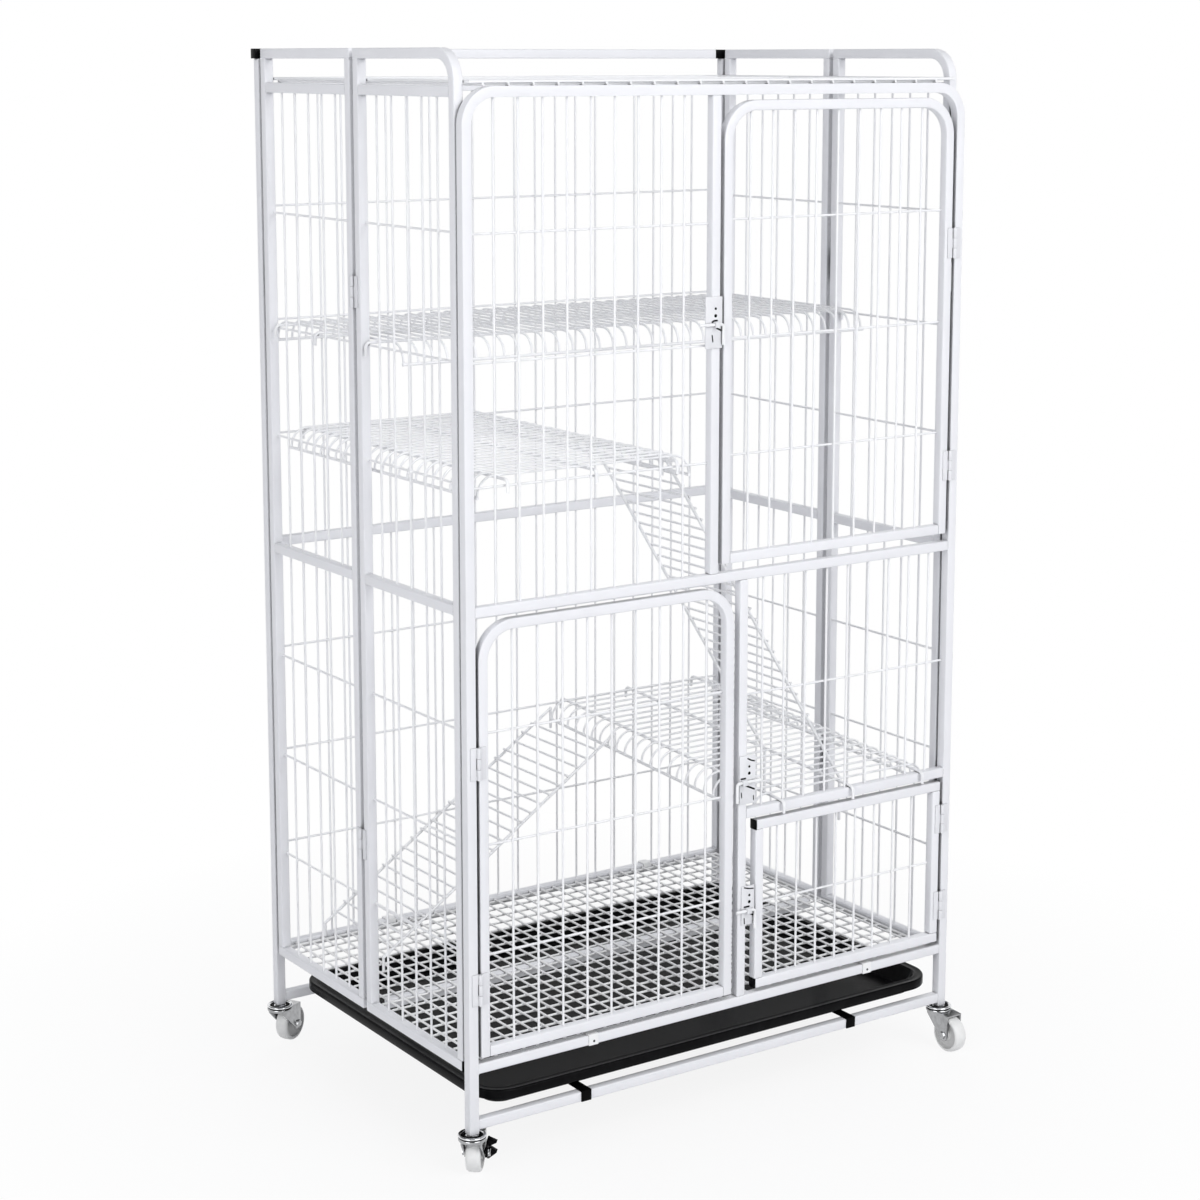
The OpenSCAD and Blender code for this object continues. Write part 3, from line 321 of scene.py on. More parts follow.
class Finish:
    """A small builder for a node material on object coordinates."""

    def __init__(self, name):
        self.material = bpy.data.materials.new(name)
        self.material.use_nodes = True
        self.nodes = self.material.node_tree.nodes
        self.links = self.material.node_tree.links
        self.shader = self.nodes["Principled BSDF"]
        self.place = self.nodes.new("ShaderNodeTexCoord").outputs["Object"]

    def noise(self, scale, detail=2.0):
        node = self.nodes.new("ShaderNodeTexNoise")
        node.inputs["Scale"].default_value = scale
        node.inputs["Detail"].default_value = detail
        self.links.new(self.place, node.inputs["Vector"])
        return node.outputs["Fac"]

    def ramp(self, source, low, high, start=0.3, end=0.7):
        node = self.nodes.new("ShaderNodeValToRGB")
        first, last = node.color_ramp.elements
        first.position, last.position = start, end
        first.color = (*low, 1.0)
        last.color = (*high, 1.0)
        self.links.new(source, node.inputs["Fac"])
        return node.outputs["Color"]

    def spread(self, source, low, high):
        return map_range(self.nodes, self.links, source, 0.0, 1.0, low, high)

    def bump(self, source, distance, strength=1.0):
        node = self.nodes.new("ShaderNodeBump")
        node.inputs["Distance"].default_value = distance
        node.inputs["Strength"].default_value = strength
        self.links.new(source, node.inputs["Height"])
        self.links.new(node.outputs["Normal"], self.shader.inputs["Normal"])

    def painted_gap_shade(self, colour, shade_reach, low):
        """Paints shade into a colour where the surface lies deep in a gap and little light gets in."""
        hidden = self.nodes.new("ShaderNodeAmbientOcclusion")
        hidden.samples = GAP_SHADE_SAMPLES
        hidden.inputs["Distance"].default_value = shade_reach
        # Share of the colour that the painted shade leaves, from the darkest in a deep gap to all of it in the
        # open
        light = map_range(self.nodes, self.links, hidden.outputs["AO"], GAP_SHADE_DARKEST, GAP_SHADE_CLEAR,
                          low, 1.0)
        scale = self.nodes.new("ShaderNodeVectorMath")
        scale.operation = "SCALE"
        self.links.new(colour, scale.inputs[0])
        self.links.new(light, scale.inputs["Scale"])
        return scale.outputs["Vector"]

    def set(self, **values):
        for name, value in values.items():
            self.shader.inputs[name.replace("_", " ")].default_value = value

    def link(self, source, name):
        self.links.new(source, self.shader.inputs[name])


def shade(colour, factor):
    """A lighter or darker colour."""
    return tuple(min(BRIGHTEST, c * factor) for c in colour)


# The last two values set the painted shade in gaps: how far it looks for nearby surfaces, and the least share of
# the colour it leaves
def powder_coat(name, colour, gloss, ripple, shine, shade_reach, low):
    """White powder coat: faint orange peel, slow changes of tone, and painted shade that darkens it in gaps."""
    finish = Finish(name)
    tone = finish.noise(9.0, 3.0)
    coat = finish.ramp(tone, shade(colour, 0.975), shade(colour, 1.015))
    # Painted shade: the coat is darkened where it lies deep in a gap
    finish.link(finish.painted_gap_shade(coat, shade_reach, low), "Base Color")
    finish.link(finish.spread(finish.noise(160.0, 2.0), gloss - 0.04, gloss + 0.05), "Roughness")
    finish.bump(finish.noise(620.0, 2.0), ripple, 0.5)
    finish.set(Specular_IOR_Level=shine)
    return finish.material


def moulded_black(name, colour, gloss, grain, shine):
    """Black moulded plastic with a fine grain and paler scuffs."""
    finish = Finish(name)
    scuff = finish.noise(35.0, 6.0)
    finish.link(finish.ramp(scuff, colour, shade(colour, 2.1), 0.45, 0.75), "Base Color")
    finish.link(finish.spread(finish.noise(240.0, 3.0), gloss - 0.06, gloss + 0.12), "Roughness")
    finish.bump(finish.noise(900.0, 3.0), grain, 0.6)
    finish.set(Specular_IOR_Level=shine)
    return finish.material


def plated_steel(name, colour):
    """Bright zinc plate with drawn streaks and small cloudy patches."""
    finish = Finish(name)
    cloud = finish.noise(120.0, 4.0)
    finish.link(finish.ramp(cloud, shade(colour, 0.80), shade(colour, 1.10)), "Base Color")
    finish.link(finish.spread(finish.noise(300.0, 3.0), 0.08, 0.20), "Roughness")
    finish.bump(finish.noise(500.0, 2.0), 0.00006, 0.4)
    finish.set(Metallic=1.0)
    return finish.material


def nylon(name, colour):
    """White nylon of the wheels: dull, with a soft gloss and faint clouds."""
    finish = Finish(name)
    tone = finish.noise(60.0, 4.0)
    finish.link(finish.ramp(tone, shade(colour, 0.94), shade(colour, 1.02)), "Base Color")
    finish.link(finish.spread(finish.noise(200.0, 2.0), 0.34, 0.48), "Roughness")
    finish.bump(finish.noise(420.0, 2.0), 0.0001, 0.4)
    finish.set(IOR=1.53)
    return finish.material


# Materials by finish, filled by build_finishes
FINISHES = {}


def finish_of(slot):
    return FINISHES[slot]


def build_finishes(settings):
    coat = tuple(settings.coat_colour)
    black = tuple(settings.tray_colour)
    zinc = tuple(settings.zinc_colour)
    wheel = tuple(settings.wheel_colour)
    FINISHES.update({
        # The last two values of each coat set its painted shade in gaps: how far it looks, and how dark it gets at
        # most
        "white_tube": powder_coat("coat_on_tube", coat, gloss=0.34, ripple=0.00012,
                                  shine=0.22, shade_reach=0.024, low=0.06),
        "white_wire": powder_coat("coat_on_wire", shade(coat, 1.06), gloss=0.38, ripple=0.00008,
                                  shine=0.30, shade_reach=0.010, low=0.25),
        # Painted light: the floor's wires get a lighter copy of the coat, as they look brightly lit over the black
        # tray
        "floor_wire_painted_light": powder_coat("coat_on_floor_painted_light", shade(coat, 1.10), gloss=0.38, ripple=0.00008,
                                  shine=0.40, shade_reach=0.010, low=0.25),
        "white_fitting": powder_coat("coat_on_sheet", shade(coat, 0.93), gloss=0.36,
                                     ripple=0.00010, shine=0.25, shade_reach=0.020, low=0.06),
        "hinge_pin_steel": plated_steel("pin_steel", zinc),
        "black_plastic": moulded_black("moulded_plastic", black, gloss=0.20, grain=0.00010,
                                       shine=0.045),
        "black_strap": moulded_black("strap_coat", shade(black, 0.6), gloss=0.46, grain=0.00010,
                                     shine=0.04),
        "zinc_steel": plated_steel("zinc_plate", zinc),
        # Painted shade: the forks get a darker copy of the zinc plate, standing for the shade and dark reflections
        # on their cheeks
        "zinc_fork_painted_shade": plated_steel("zinc_fork_painted_shade", shade(zinc, 0.50)),
        "wheel_plastic": nylon("wheel_tread", wheel),
        # Painted shade: the wheels' cores get a darker copy of the nylon, for their shaded sides under the forks
        "wheel_core_painted_shade": nylon("wheel_core_painted_shade", shade(wheel, 0.72)),
    })


# ---------------------------------------------------------------- geometry nodes

def new_tree(name, values):
    """A node tree that takes a mesh and the named values and gives a mesh."""
    tree = bpy.data.node_groups.new(name, "GeometryNodeTree")
    face = tree.interface
    face.new_socket("Geometry", in_out="INPUT", socket_type="NodeSocketGeometry")
    for key, kind in values:
        face.new_socket(key, in_out="INPUT", socket_type=f"NodeSocket{kind}")
    face.new_socket("Geometry", in_out="OUTPUT", socket_type="NodeSocketGeometry")
    return tree, tree.nodes.new("NodeGroupInput")


def balls_on_points(tree, given, points, subdivisions, small, large, material):
    """Sets a painted ball of slightly random size on every point and ends the tree."""
    nodes, links = tree.nodes, tree.links
    ball = nodes.new("GeometryNodeMeshIcoSphere")
    ball.inputs["Subdivisions"].default_value = subdivisions
    links.new(given.outputs["Radius"], ball.inputs["Radius"])
    smooth = nodes.new("GeometryNodeSetShadeSmooth")
    links.new(ball.outputs["Mesh"], smooth.inputs["Geometry"])
    size = nodes.new("FunctionNodeRandomValue")
    size.data_type = "FLOAT_VECTOR"
    size.inputs["Min"].default_value = (small,) * 3
    size.inputs["Max"].default_value = (large,) * 3
    links.new(given.outputs["Seed"], size.inputs["Seed"])
    put = nodes.new("GeometryNodeInstanceOnPoints")
    links.new(points, put.inputs["Points"])
    links.new(smooth.outputs["Geometry"], put.inputs["Instance"])
    links.new(size.outputs["Value"], put.inputs["Scale"])
    real = nodes.new("GeometryNodeRealizeInstances")
    links.new(put.outputs["Instances"], real.inputs["Geometry"])
    paint = nodes.new("GeometryNodeSetMaterial")
    paint.inputs["Material"].default_value = material
    links.new(real.outputs["Geometry"], paint.inputs["Geometry"])
    result = nodes.new("NodeGroupOutput")
    links.new(paint.outputs["Geometry"], result.inputs["Geometry"])
    return tree


def spot_tree(material):
    """Sets a small weld spot on every point of a mesh."""
    tree, given = new_tree("weld_spots", (("Radius", "Float"), ("Seed", "Int")))
    return balls_on_points(tree, given, given.outputs["Geometry"], 2, 0.82, 1.05, material)


def bead_tree(material):
    """Lays a rippled weld bead along every edge loop of a mesh."""
    tree, given = new_tree("weld_beads", (("Radius", "Float"), ("Spacing", "Float"),
                                          ("Seed", "Int")))
    path = tree.nodes.new("GeometryNodeMeshToCurve")
    tree.links.new(given.outputs["Geometry"], path.inputs["Mesh"])
    steps = tree.nodes.new("GeometryNodeResampleCurve")
    steps.mode = "LENGTH"
    tree.links.new(path.outputs["Curve"], steps.inputs["Curve"])
    tree.links.new(given.outputs["Spacing"], steps.inputs["Length"])
    return balls_on_points(tree, given, steps.outputs["Curve"], 1, 0.85, 1.15, material)


def run_tree(name, points, edges, tree, **inputs):
    """Runs a node tree over a mesh of points and edges and keeps the plain result."""
    mesh = bpy.data.meshes.new(name)
    mesh.from_pydata([tuple(p) for p in points], edges, [])
    obj = new_object(name, mesh)
    modifier = obj.modifiers.new("build", "NODES")
    modifier.node_group = tree
    sockets = {item.name: item.identifier for item in tree.interface.items_tree
               if item.in_out == "INPUT"}
    for key, value in inputs.items():
        modifier[sockets[key]] = value
    obj.update_tag()
    return apply_modifiers(obj)


# ---------------------------------------------------------------- weld places

# A wire whose centre line lies closer to another's than this share of both radii is bent
# through it, and is no crossing
TOO_DEEP = 0.3
# How far past a wire's end a crossing wire still touches it
END_REACH = 0.003
# A piece smaller than this across is a straight wire, and no bent support
THIN = 0.006
# Height above the ground below which the low shelf's short wires are its lower rims
LOW_RIM_TOP = 0.39
# Rungs are longer than this, and are welded this far in from their ends
RUNG_LENGTH = 0.1
RUNG_INSET = 0.002
# Seeds of the random sizes of weld spots and of weld beads
SPOT_SEED = 11
BEAD_SEED = 5
# A piece wider than this is a bend or a whole frame, and no straight tube
BENT_SIZE = 1.5 * TUBE
# How far a weld bead's centre line lies inside the tube's faces
BEAD_INSET = 0.0006
# Point behind a tube's end where another tube is looked for, and the room around it
PROBE_DEPTH = 0.003
PROBE_SLACK = 0.0002
# Boxes of the tubes' separate solids, filled when the tubes are rounded
TUBE_BOXES = []


def wire_axis(low, high):
    """Long axis, centre and radius of one wire; a curled wire's centre is its straight part."""
    size = high - low
    axis = int(np.argmax(size))
    others = [k for k in range(3) if k != axis]
    radius = min(size[others[0]], size[others[1]]) / 2
    centre = (low + high) / 2
    if axis != 2 and size[2] > 4 * radius:
        centre[2] = high[2] - radius
    return axis, centre, radius, low[axis], high[axis]


def crossings(wires, slack=0.0008):
    """Points where straight wires that run along different axes touch."""
    points = []
    for i, (axis_a, centre_a, radius_a, low_a, high_a) in enumerate(wires):
        for axis_b, centre_b, radius_b, low_b, high_b in wires[i + 1:]:
            if axis_a == axis_b:
                continue
            axis_c = 3 - axis_a - axis_b
            gap = abs(centre_a[axis_c] - centre_b[axis_c])
            if gap > radius_a + radius_b + slack or gap < TOO_DEEP * (radius_a + radius_b):
                continue
            if not low_a - END_REACH <= centre_b[axis_a] <= high_a + END_REACH:
                continue
            if not low_b - END_REACH <= centre_a[axis_b] <= high_b + END_REACH:
                continue
            point = [0.0, 0.0, 0.0]
            point[axis_a] = min(max(centre_b[axis_a], low_a + WIRE_RADIUS), high_a - WIRE_RADIUS)
            point[axis_b] = min(max(centre_a[axis_b], low_b + WIRE_RADIUS), high_b - WIRE_RADIUS)
            share = radius_a / (radius_a + radius_b)
            point[axis_c] = centre_a[axis_c] + (centre_b[axis_c] - centre_a[axis_c]) * share
            points.append(point)
    return points


def shelf_spots(node):
    """Weld places of a shelf: wires on supports, and wire ends on the rims."""
    curled, supports = [], []
    wire_dir = 1 if node == "top_shelf" else 0
    for low, high in islands(node):
        span = high - low
        if int(np.argmax(span)) == wire_dir:
            curled.append((low, high))
            continue
        lower_rim = node == "low_shelf" and span[wire_dir] < THIN and low[2] < LOW_RIM_TOP
        if span[2] >= THIN and not lower_rim:
            supports.append((low, high))
    points = []
    for low, high in curled:
        middle = (low + high) / 2
        for s_low, s_high in supports:
            point = middle.copy()
            point[wire_dir] = (s_low[wire_dir] + s_high[wire_dir]) / 2
            point[2] = high[2] - 2 * WIRE_RADIUS
            points.append(point)
        for end in (low[wire_dir] + WIRE_RADIUS, high[wire_dir] - WIRE_RADIUS):
            point = middle.copy()
            point[wire_dir] = end
            point[2] = low[2]
            points.append(point)
    return points


def ladder_spots(node):
    """Weld places at both ends of each rung."""
    points = []
    for low, high in islands(node):
        size = high - low
        if size[1] > RUNG_LENGTH and size[0] < THIN:
            middle = (low + high) / 2
            for y in (low[1] + RUNG_INSET, high[1] - RUNG_INSET):
                points.append((middle[0], y, middle[2]))
    return points


def tube_joints():
    """Square loops around the ends of the bars, grouped by body."""
    loops = {}
    for node in TUBE_NODES:
        if node in ("front_hoop", "rear_posts", "floor_stiffener"):
            continue
        for low, high in islands(node):
            size = high - low
            axis = int(np.argmax(size))
            others = [k for k in range(3) if k != axis]
            if max(size[others[0]], size[others[1]]) > BENT_SIZE:
                continue
            for end in (low[axis], high[axis]):
                if not meets_tube(low, high, axis, end):
                    continue
                corners = []
                for a, b in ((0, 0), (1, 0), (1, 1), (0, 1)):
                    point = [0.0, 0.0, 0.0]
                    point[axis] = end
                    for across, far in ((others[0], a), (others[1], b)):
                        side = high[across] if far else low[across]
                        point[across] = side + (-BEAD_INSET if far else BEAD_INSET)
                    corners.append(point)
                loops.setdefault(body_of(node), []).append(corners)
    return loops


def meets_tube(low, high, axis, end):
    """Whether another tube of the frame stands against this end."""
    probe = (low + high) / 2
    probe[axis] = end + (PROBE_DEPTH if end > probe[axis] else -PROBE_DEPTH)
    for other_low, other_high in TUBE_BOXES:
        inside = all(other_low[k] - PROBE_SLACK <= probe[k] <= other_high[k] + PROBE_SLACK
                     for k in range(3))
        if inside and not (np.allclose(other_low, low) and np.allclose(other_high, high)):
            size = other_high - other_low
            if sorted(size)[1] < BENT_SIZE:
                return True
            edge = min(abs(probe[k] - side[k]) for k in range(3) if size[k] > BENT_SIZE
                       for side in (other_low, other_high))
            return edge < TUBE
    return False


# ---------------------------------------------------------------- operators

class PLAYPEN_OT_finishes(bpy.types.Operator):
    """Make the finishes and give every solid its own"""
    bl_idname = "playpen.finishes"
    bl_label = "Finishes"

    def execute(self, context):
        build_finishes(context.scene.playpen_finish)
        for node, obj in frame["nodes"].items():
            obj.data.materials.clear()
            # The floor grid gets the lighter copy of the coat, which is painted light
            finish = "floor_wire_painted_light" if node == "floor_grid" else slot_of(node)
            obj.data.materials.append(finish_of(finish))
        return {"FINISHED"}


class PLAYPEN_OT_tubes(bpy.types.Operator):
    """Round the edges of the square tubes"""
    bl_idname = "playpen.tubes"
    bl_label = "Square tubes"

    def execute(self, context):
        radius = context.scene.playpen_frame.tube_radius
        for node in TUBE_NODES:
            TUBE_BOXES.extend(islands(node))
            rounded_copy(node, f"{node}_rounded", radius, 3, finish_of(slot_of(node)))
        return {"FINISHED"}


class PLAYPEN_OT_fittings(bpy.types.Operator):
    """Round the edges of hinges, latches, straps, caps and pedals"""
    bl_idname = "playpen.fittings"
    bl_label = "Sheet fittings"

    def execute(self, context):
        radius = context.scene.playpen_frame.sheet_radius
        for node in SHEET_NODES:
            rounded_copy(node, f"{node}_rounded", radius, 2, finish_of(slot_of(node)))
        return {"FINISHED"}


# Painted shade in the slots pressed out of each latch plate around its bolt, as thin dark bars: x and z of both
# ends and the width, in millimetres from the cage's left edge and from the ground
LATCH_SLOTS = (
    (362.4, 1048.4, 365.8, 1049.9, 2.4), (365.8, 1049.9, 370.0, 1050.0, 2.2),
    (369.4, 1040.2, 376.2, 1037.2, 2.0), (362.2, 1031.4, 363.4, 1023.6, 1.7),
    (425.0, 474.0, 430.5, 471.0, 2.0), (430.5, 471.0, 436.0, 469.4, 1.8),
    (414.4, 447.8, 421.4, 447.8, 2.2), (421.4, 438.2, 436.0, 431.5, 2.3),
    (415.0, 429.0, 415.4, 422.8, 1.6), (434.8, 422.6, 435.0, 417.0, 1.5),
    (421.4, 299.4, 428.3, 297.2, 1.8), (428.3, 297.2, 436.0, 296.2, 1.6),
    (421.6, 272.8, 429.2, 272.8, 2.4), (429.6, 263.4, 436.2, 259.8, 2.3),
    (421.4, 257.3, 421.8, 250.3, 1.7),
)
# Holes of the latch plates, filled with painted shade: x, z and radius in millimetres
LATCH_HOLES = (
    (367.6, 1056.0, 2.2), (367.6, 1065.0, 1.7), (427.6, 454.0, 2.2), (427.6, 463.0, 1.7),
    (429.6, 279.0, 2.2), (429.6, 288.0, 1.7),
)
# Holes of the straps that hold the floor to the front bar, filled with painted shade
STRAP_HOLES = ((183.4, 142.6, 1.5), (634.4, 142.6, 1.5))
# Front faces of the dark bars of painted shade, measured back from the frame's front, and their depth
LATCH_SHADE_INSERT = -1.56
STRAP_SHADE_INSERT = -1.86
SHADE_INSERT_DEPTH = 0.4
# Steps of a slot's round end, and the half length of a slot that is a round hole
SLOT_STEPS = 6
HOLE_LENGTH = 0.01


def painted_slot_shade(bm, x0, z0, x1, z1, width, face):
    """A thin dark bar with round ends that fills a slot in a plate with painted shade, in millimetres."""
    angle = math.atan2(z1 - z0, x1 - x0)
    outline = []
    for x, z, start in ((x1, z1, angle - math.pi / 2), (x0, z0, angle + math.pi / 2)):
        for k in range(SLOT_STEPS + 1):
            turn = start + math.pi * k / SLOT_STEPS
            outline.append((x + width / 2 * math.cos(turn), z + width / 2 * math.sin(turn)))
    near, far = [], []
    for x, z in outline:
        place = ((x + CORNER_X) / 1000, (face + CORNER_Y) / 1000, z / 1000)
        near.append(bm.verts.new(place))
        far.append(bm.verts.new((place[0], place[1] + SHADE_INSERT_DEPTH / 1000, place[2])))
    count = len(outline)
    bm.faces.new(near)
    bm.faces.new(far)
    for k in range(count):
        bm.faces.new((near[k], near[(k + 1) % count], far[(k + 1) % count], far[k]))


# A round hole in a plate, filled with painted shade
def painted_hole_shade(bm, x, z, radius, face):
    painted_slot_shade(bm, x - HOLE_LENGTH, z, x + HOLE_LENGTH, z, 2 * radius, face)


class PLAYPEN_OT_plate_hole_shade(bpy.types.Operator):
    """Painted shade: dark bars in the holes and pressed slots of the latch plates and floor straps"""
    bl_idname = "playpen.plate_holes"
    bl_label = "Plate hole shade"

    def execute(self, context):
        bm = bmesh.new()
        for slot in LATCH_SLOTS:
            painted_slot_shade(bm, *slot, LATCH_SHADE_INSERT)
        for hole in LATCH_HOLES:
            painted_hole_shade(bm, *hole, LATCH_SHADE_INSERT)
        for hole in STRAP_HOLES:
            painted_hole_shade(bm, *hole, STRAP_SHADE_INSERT)
        bmesh.ops.recalc_face_normals(bm, faces=bm.faces)
        obj = object_from(bm, "plate_holes")
        smooth_by_angle(obj.data, SMOOTH_SLOTS)
        finish_piece(obj, "cage", (), finish_of("black_plastic"))
        return {"FINISHED"}


class PLAYPEN_OT_welds(bpy.types.Operator):
    """Weld spots where wires cross and beads around the tube joints"""
    bl_idname = "playpen.welds"
    bl_label = "Welds"

    def execute(self, context):
        sizes = context.scene.playpen_frame
        spots = {}
        for node in PANEL_NODES:
            wires = [wire_axis(low, high) for low, high in islands(node)]
            spots.setdefault(body_of(node), []).extend(crossings(wires))
        for node in SHELF_NODES:
            spots.setdefault(body_of(node), []).extend(shelf_spots(node))
        for node in LADDER_NODES:
            spots.setdefault(body_of(node), []).extend(ladder_spots(node))
        tree = spot_tree(finish_of("white_wire"))
        for body, points in spots.items():
            obj = run_tree(f"weld_spots_{body}", points, [], tree,
                           Radius=sizes.weld_radius, Seed=SPOT_SEED)
            finish_piece(obj, body)
        tree = bead_tree(finish_of("white_tube"))
        for body, loops in tube_joints().items():
            points, edges = [], []
            for loop in loops:
                base = len(points)
                points.extend(loop)
                edges.extend((base + k, base + (k + 1) % 4) for k in range(4))
            obj = run_tree(f"weld_beads_{body}", points, edges, tree,
                           Radius=sizes.bead_radius, Spacing=sizes.bead_step,
                           Seed=BEAD_SEED)
            finish_piece(obj, body)
        return {"FINISHED"}


# Lengths of the casters are in metres. Rounding of the forks' edges
FORK_EDGE = 0.0005
# Height of a swivel cup's underside above the ground, its outside radius and its stem's
CUP_Z = 0.056
CUP_RADIUS = 0.018
STEM_RADIUS = 0.004
CUP_STEPS = 64
# Radius of a wheel's bore, half its width, and the radius at which its core, darkened with painted shade, ends
WHEEL_BORE = 0.00306
WHEEL_HALF = 0.010
TREAD_START = 0.0206
WHEEL_STEPS = 72


class PLAYPEN_OT_casters(bpy.types.Operator):
    """Nylon wheels, plated forks and stems"""
    bl_idname = "playpen.casters"
    bl_label = "Casters"

    def execute(self, context):
        for place in CASTERS:
            # The forks get the darker copy of the zinc plate, which is painted shade
            rounded_copy(f"fork_{place}", f"fork_{place}_rounded", FORK_EDGE, 2,
                         finish_of("zinc_fork_painted_shade"))
            build_wheel(place)
        build_swivel_cups()
        return {"FINISHED"}


def joint_named(name):
    return next(joint for joint in frame["joints"] if joint["name"] == name)


def build_swivel_cups():
    """Pressed cups with a rolled rim on their stems, and dark rings of painted shade in the gaps inside and below
    them.
    """
    r, z, s = CUP_RADIUS, CUP_Z, STEM_RADIUS
    cup = [(0.0, z - 0.0083), (s + 0.0014, z - 0.0083), (s + 0.0020, z - 0.0078),
           (s + 0.0020, z - 0.0058), (s + 0.0014, z - 0.0053), (s, z - 0.0053), (s, z),
           (r - 0.0040, z), (r - 0.0034, z + 0.0008), (r - 0.0014, z + 0.0011),
           (r - 0.0003, z + 0.0017), (r, z + 0.0025), (r - 0.0004, z + 0.0034),
           (r - 0.0014, z + 0.0040), (r - 0.0030, z + 0.0039), (r - 0.0040, z + 0.0031),
           (r - 0.0046, z + 0.0014), (s + 0.0056, z + 0.0014), (s + 0.0044, z + 0.0022),
           (s + 0.0030, z + 0.0038), (s, z + 0.0040), (s, z + 0.0380), (0.0, z + 0.0390)]
    # Profiles of the dark rings of painted shade in the gap inside the cup and in the gap below it
    inner = [(s + 0.0040, z + 0.0015), (r - 0.0043, z + 0.0015), (r - 0.0040, z + 0.0023),
             (r - 0.0043, z + 0.0026), (s + 0.0046, z + 0.0026), (s + 0.0040, z + 0.0022)]
    lower = [(s + 0.0060, z - 0.0001), (r - 0.0018, z - 0.0001), (r - 0.0014, z + 0.0003),
             (r - 0.0014, z + 0.0008), (r - 0.0020, z + 0.0010), (s + 0.0060, z + 0.0003)]
    steel, dark = [], []
    up = (0, 0, 1)
    for place in CASTERS:
        centre = (*joint_named(f"swivel_{place}")["pos_m"][:2], 0.0)
        steel.append(lathe(f"cup_{place}", cup, CUP_STEPS, centre, up))
        dark.append(lathe(f"inner_gap_shade_{place}", inner, CUP_STEPS, centre, up))
        dark.append(lathe(f"lower_gap_shade_{place}", lower, CUP_STEPS, centre, up))
    cups = joined("swivel_cups", steel)
    smooth_by_angle(cups.data, SMOOTH_ROUNDED)
    finish_piece(cups, "cage", ("caster_stems",), finish_of("zinc_steel"))
    # Painted shade: the dark rings stand for the shaded gaps in the cups
    gap_shade_rings = joined("swivel_gap_shade", dark)
    smooth_by_angle(gap_shade_rings.data, SMOOTH_ROUNDED)
    finish_piece(gap_shade_rings, "cage", (), finish_of("black_strap"))


def joined(name, objects):
    """One object that holds the meshes of several."""
    bm = bmesh.new()
    for obj in objects:
        bm.from_mesh(obj.data)
        old = obj.data
        bpy.data.objects.remove(obj)
        bpy.data.meshes.remove(old)
    return object_from(bm, name)


def build_wheel(place):
    """A wheel with a crowned tread, a sunk web and a raised hub."""
    axis = joint_named(f"spin_{place}")["axis"]
    low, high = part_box(f"wheel_{place}")
    centre = (Vector(low) + Vector(high)) / 2
    radius = (high[2] - low[2]) / 2
    face = -WHEEL_HALF
    profile = [(WHEEL_BORE, face), (0.0075, face), (0.0082, face + 0.0006),
               (0.0088, face + 0.0028), (0.0104, face + 0.0034), (0.0176, face + 0.0034),
               (0.0190, face + 0.0028), (0.0196, face + 0.0012), (0.0203, face + 0.0005),
               (0.0216, face + 0.0005), (0.0232, face + 0.0013), (0.0243, face + 0.0027),
               (0.0249, face + 0.0052), (radius, 0.0)]
    mirror = [(r, -z) for r, z in reversed(profile[:-1])]
    obj = lathe(f"wheel_{place}_turned", profile + mirror, WHEEL_STEPS, centre, axis)
    smooth_by_angle(obj.data, SMOOTH_WHEEL)
    finish_piece(obj, f"roller_{place}", (f"wheel_{place}",),
                 finish_of("wheel_plastic"))
    # Painted shade: the faces inside the tread's radius get the darker copy of the nylon
    obj.data.materials.append(finish_of("wheel_core_painted_shade"))
    axis = Vector(axis)
    for polygon in obj.data.polygons:
        away = polygon.center - centre
        if (away - axis * away.dot(axis)).length < TREAD_START:
            polygon.material_index = 1


# Radius of the tray's corners at its outline, and the least at its floor
TRAY_CORNER = 0.045
TRAY_CORNER_LEAST = 0.012


class PLAYPEN_OT_tray(bpy.types.Operator):
    """Moulded litter tray with a flat rim and a skirt that turns down"""
    bl_idname = "playpen.tray"
    bl_label = "Litter tray"

    def execute(self, context):
        build_tray()
        return {"FINISHED"}


def round_loop(x0, x1, y0, y1, radius, z, steps=12):
    """Points of a rounded rectangle, counter-clockwise from the front left."""
    points = []
    corners = ((x0 + radius, y0 + radius, 180), (x1 - radius, y0 + radius, 270),
               (x1 - radius, y1 - radius, 0), (x0 + radius, y1 - radius, 90))
    for cx, cy, start in corners:
        for k in range(steps + 1):
            angle = math.radians(start + 90 * k / steps)
            points.append((cx + radius * math.cos(angle), cy + radius * math.sin(angle), z))
    return points


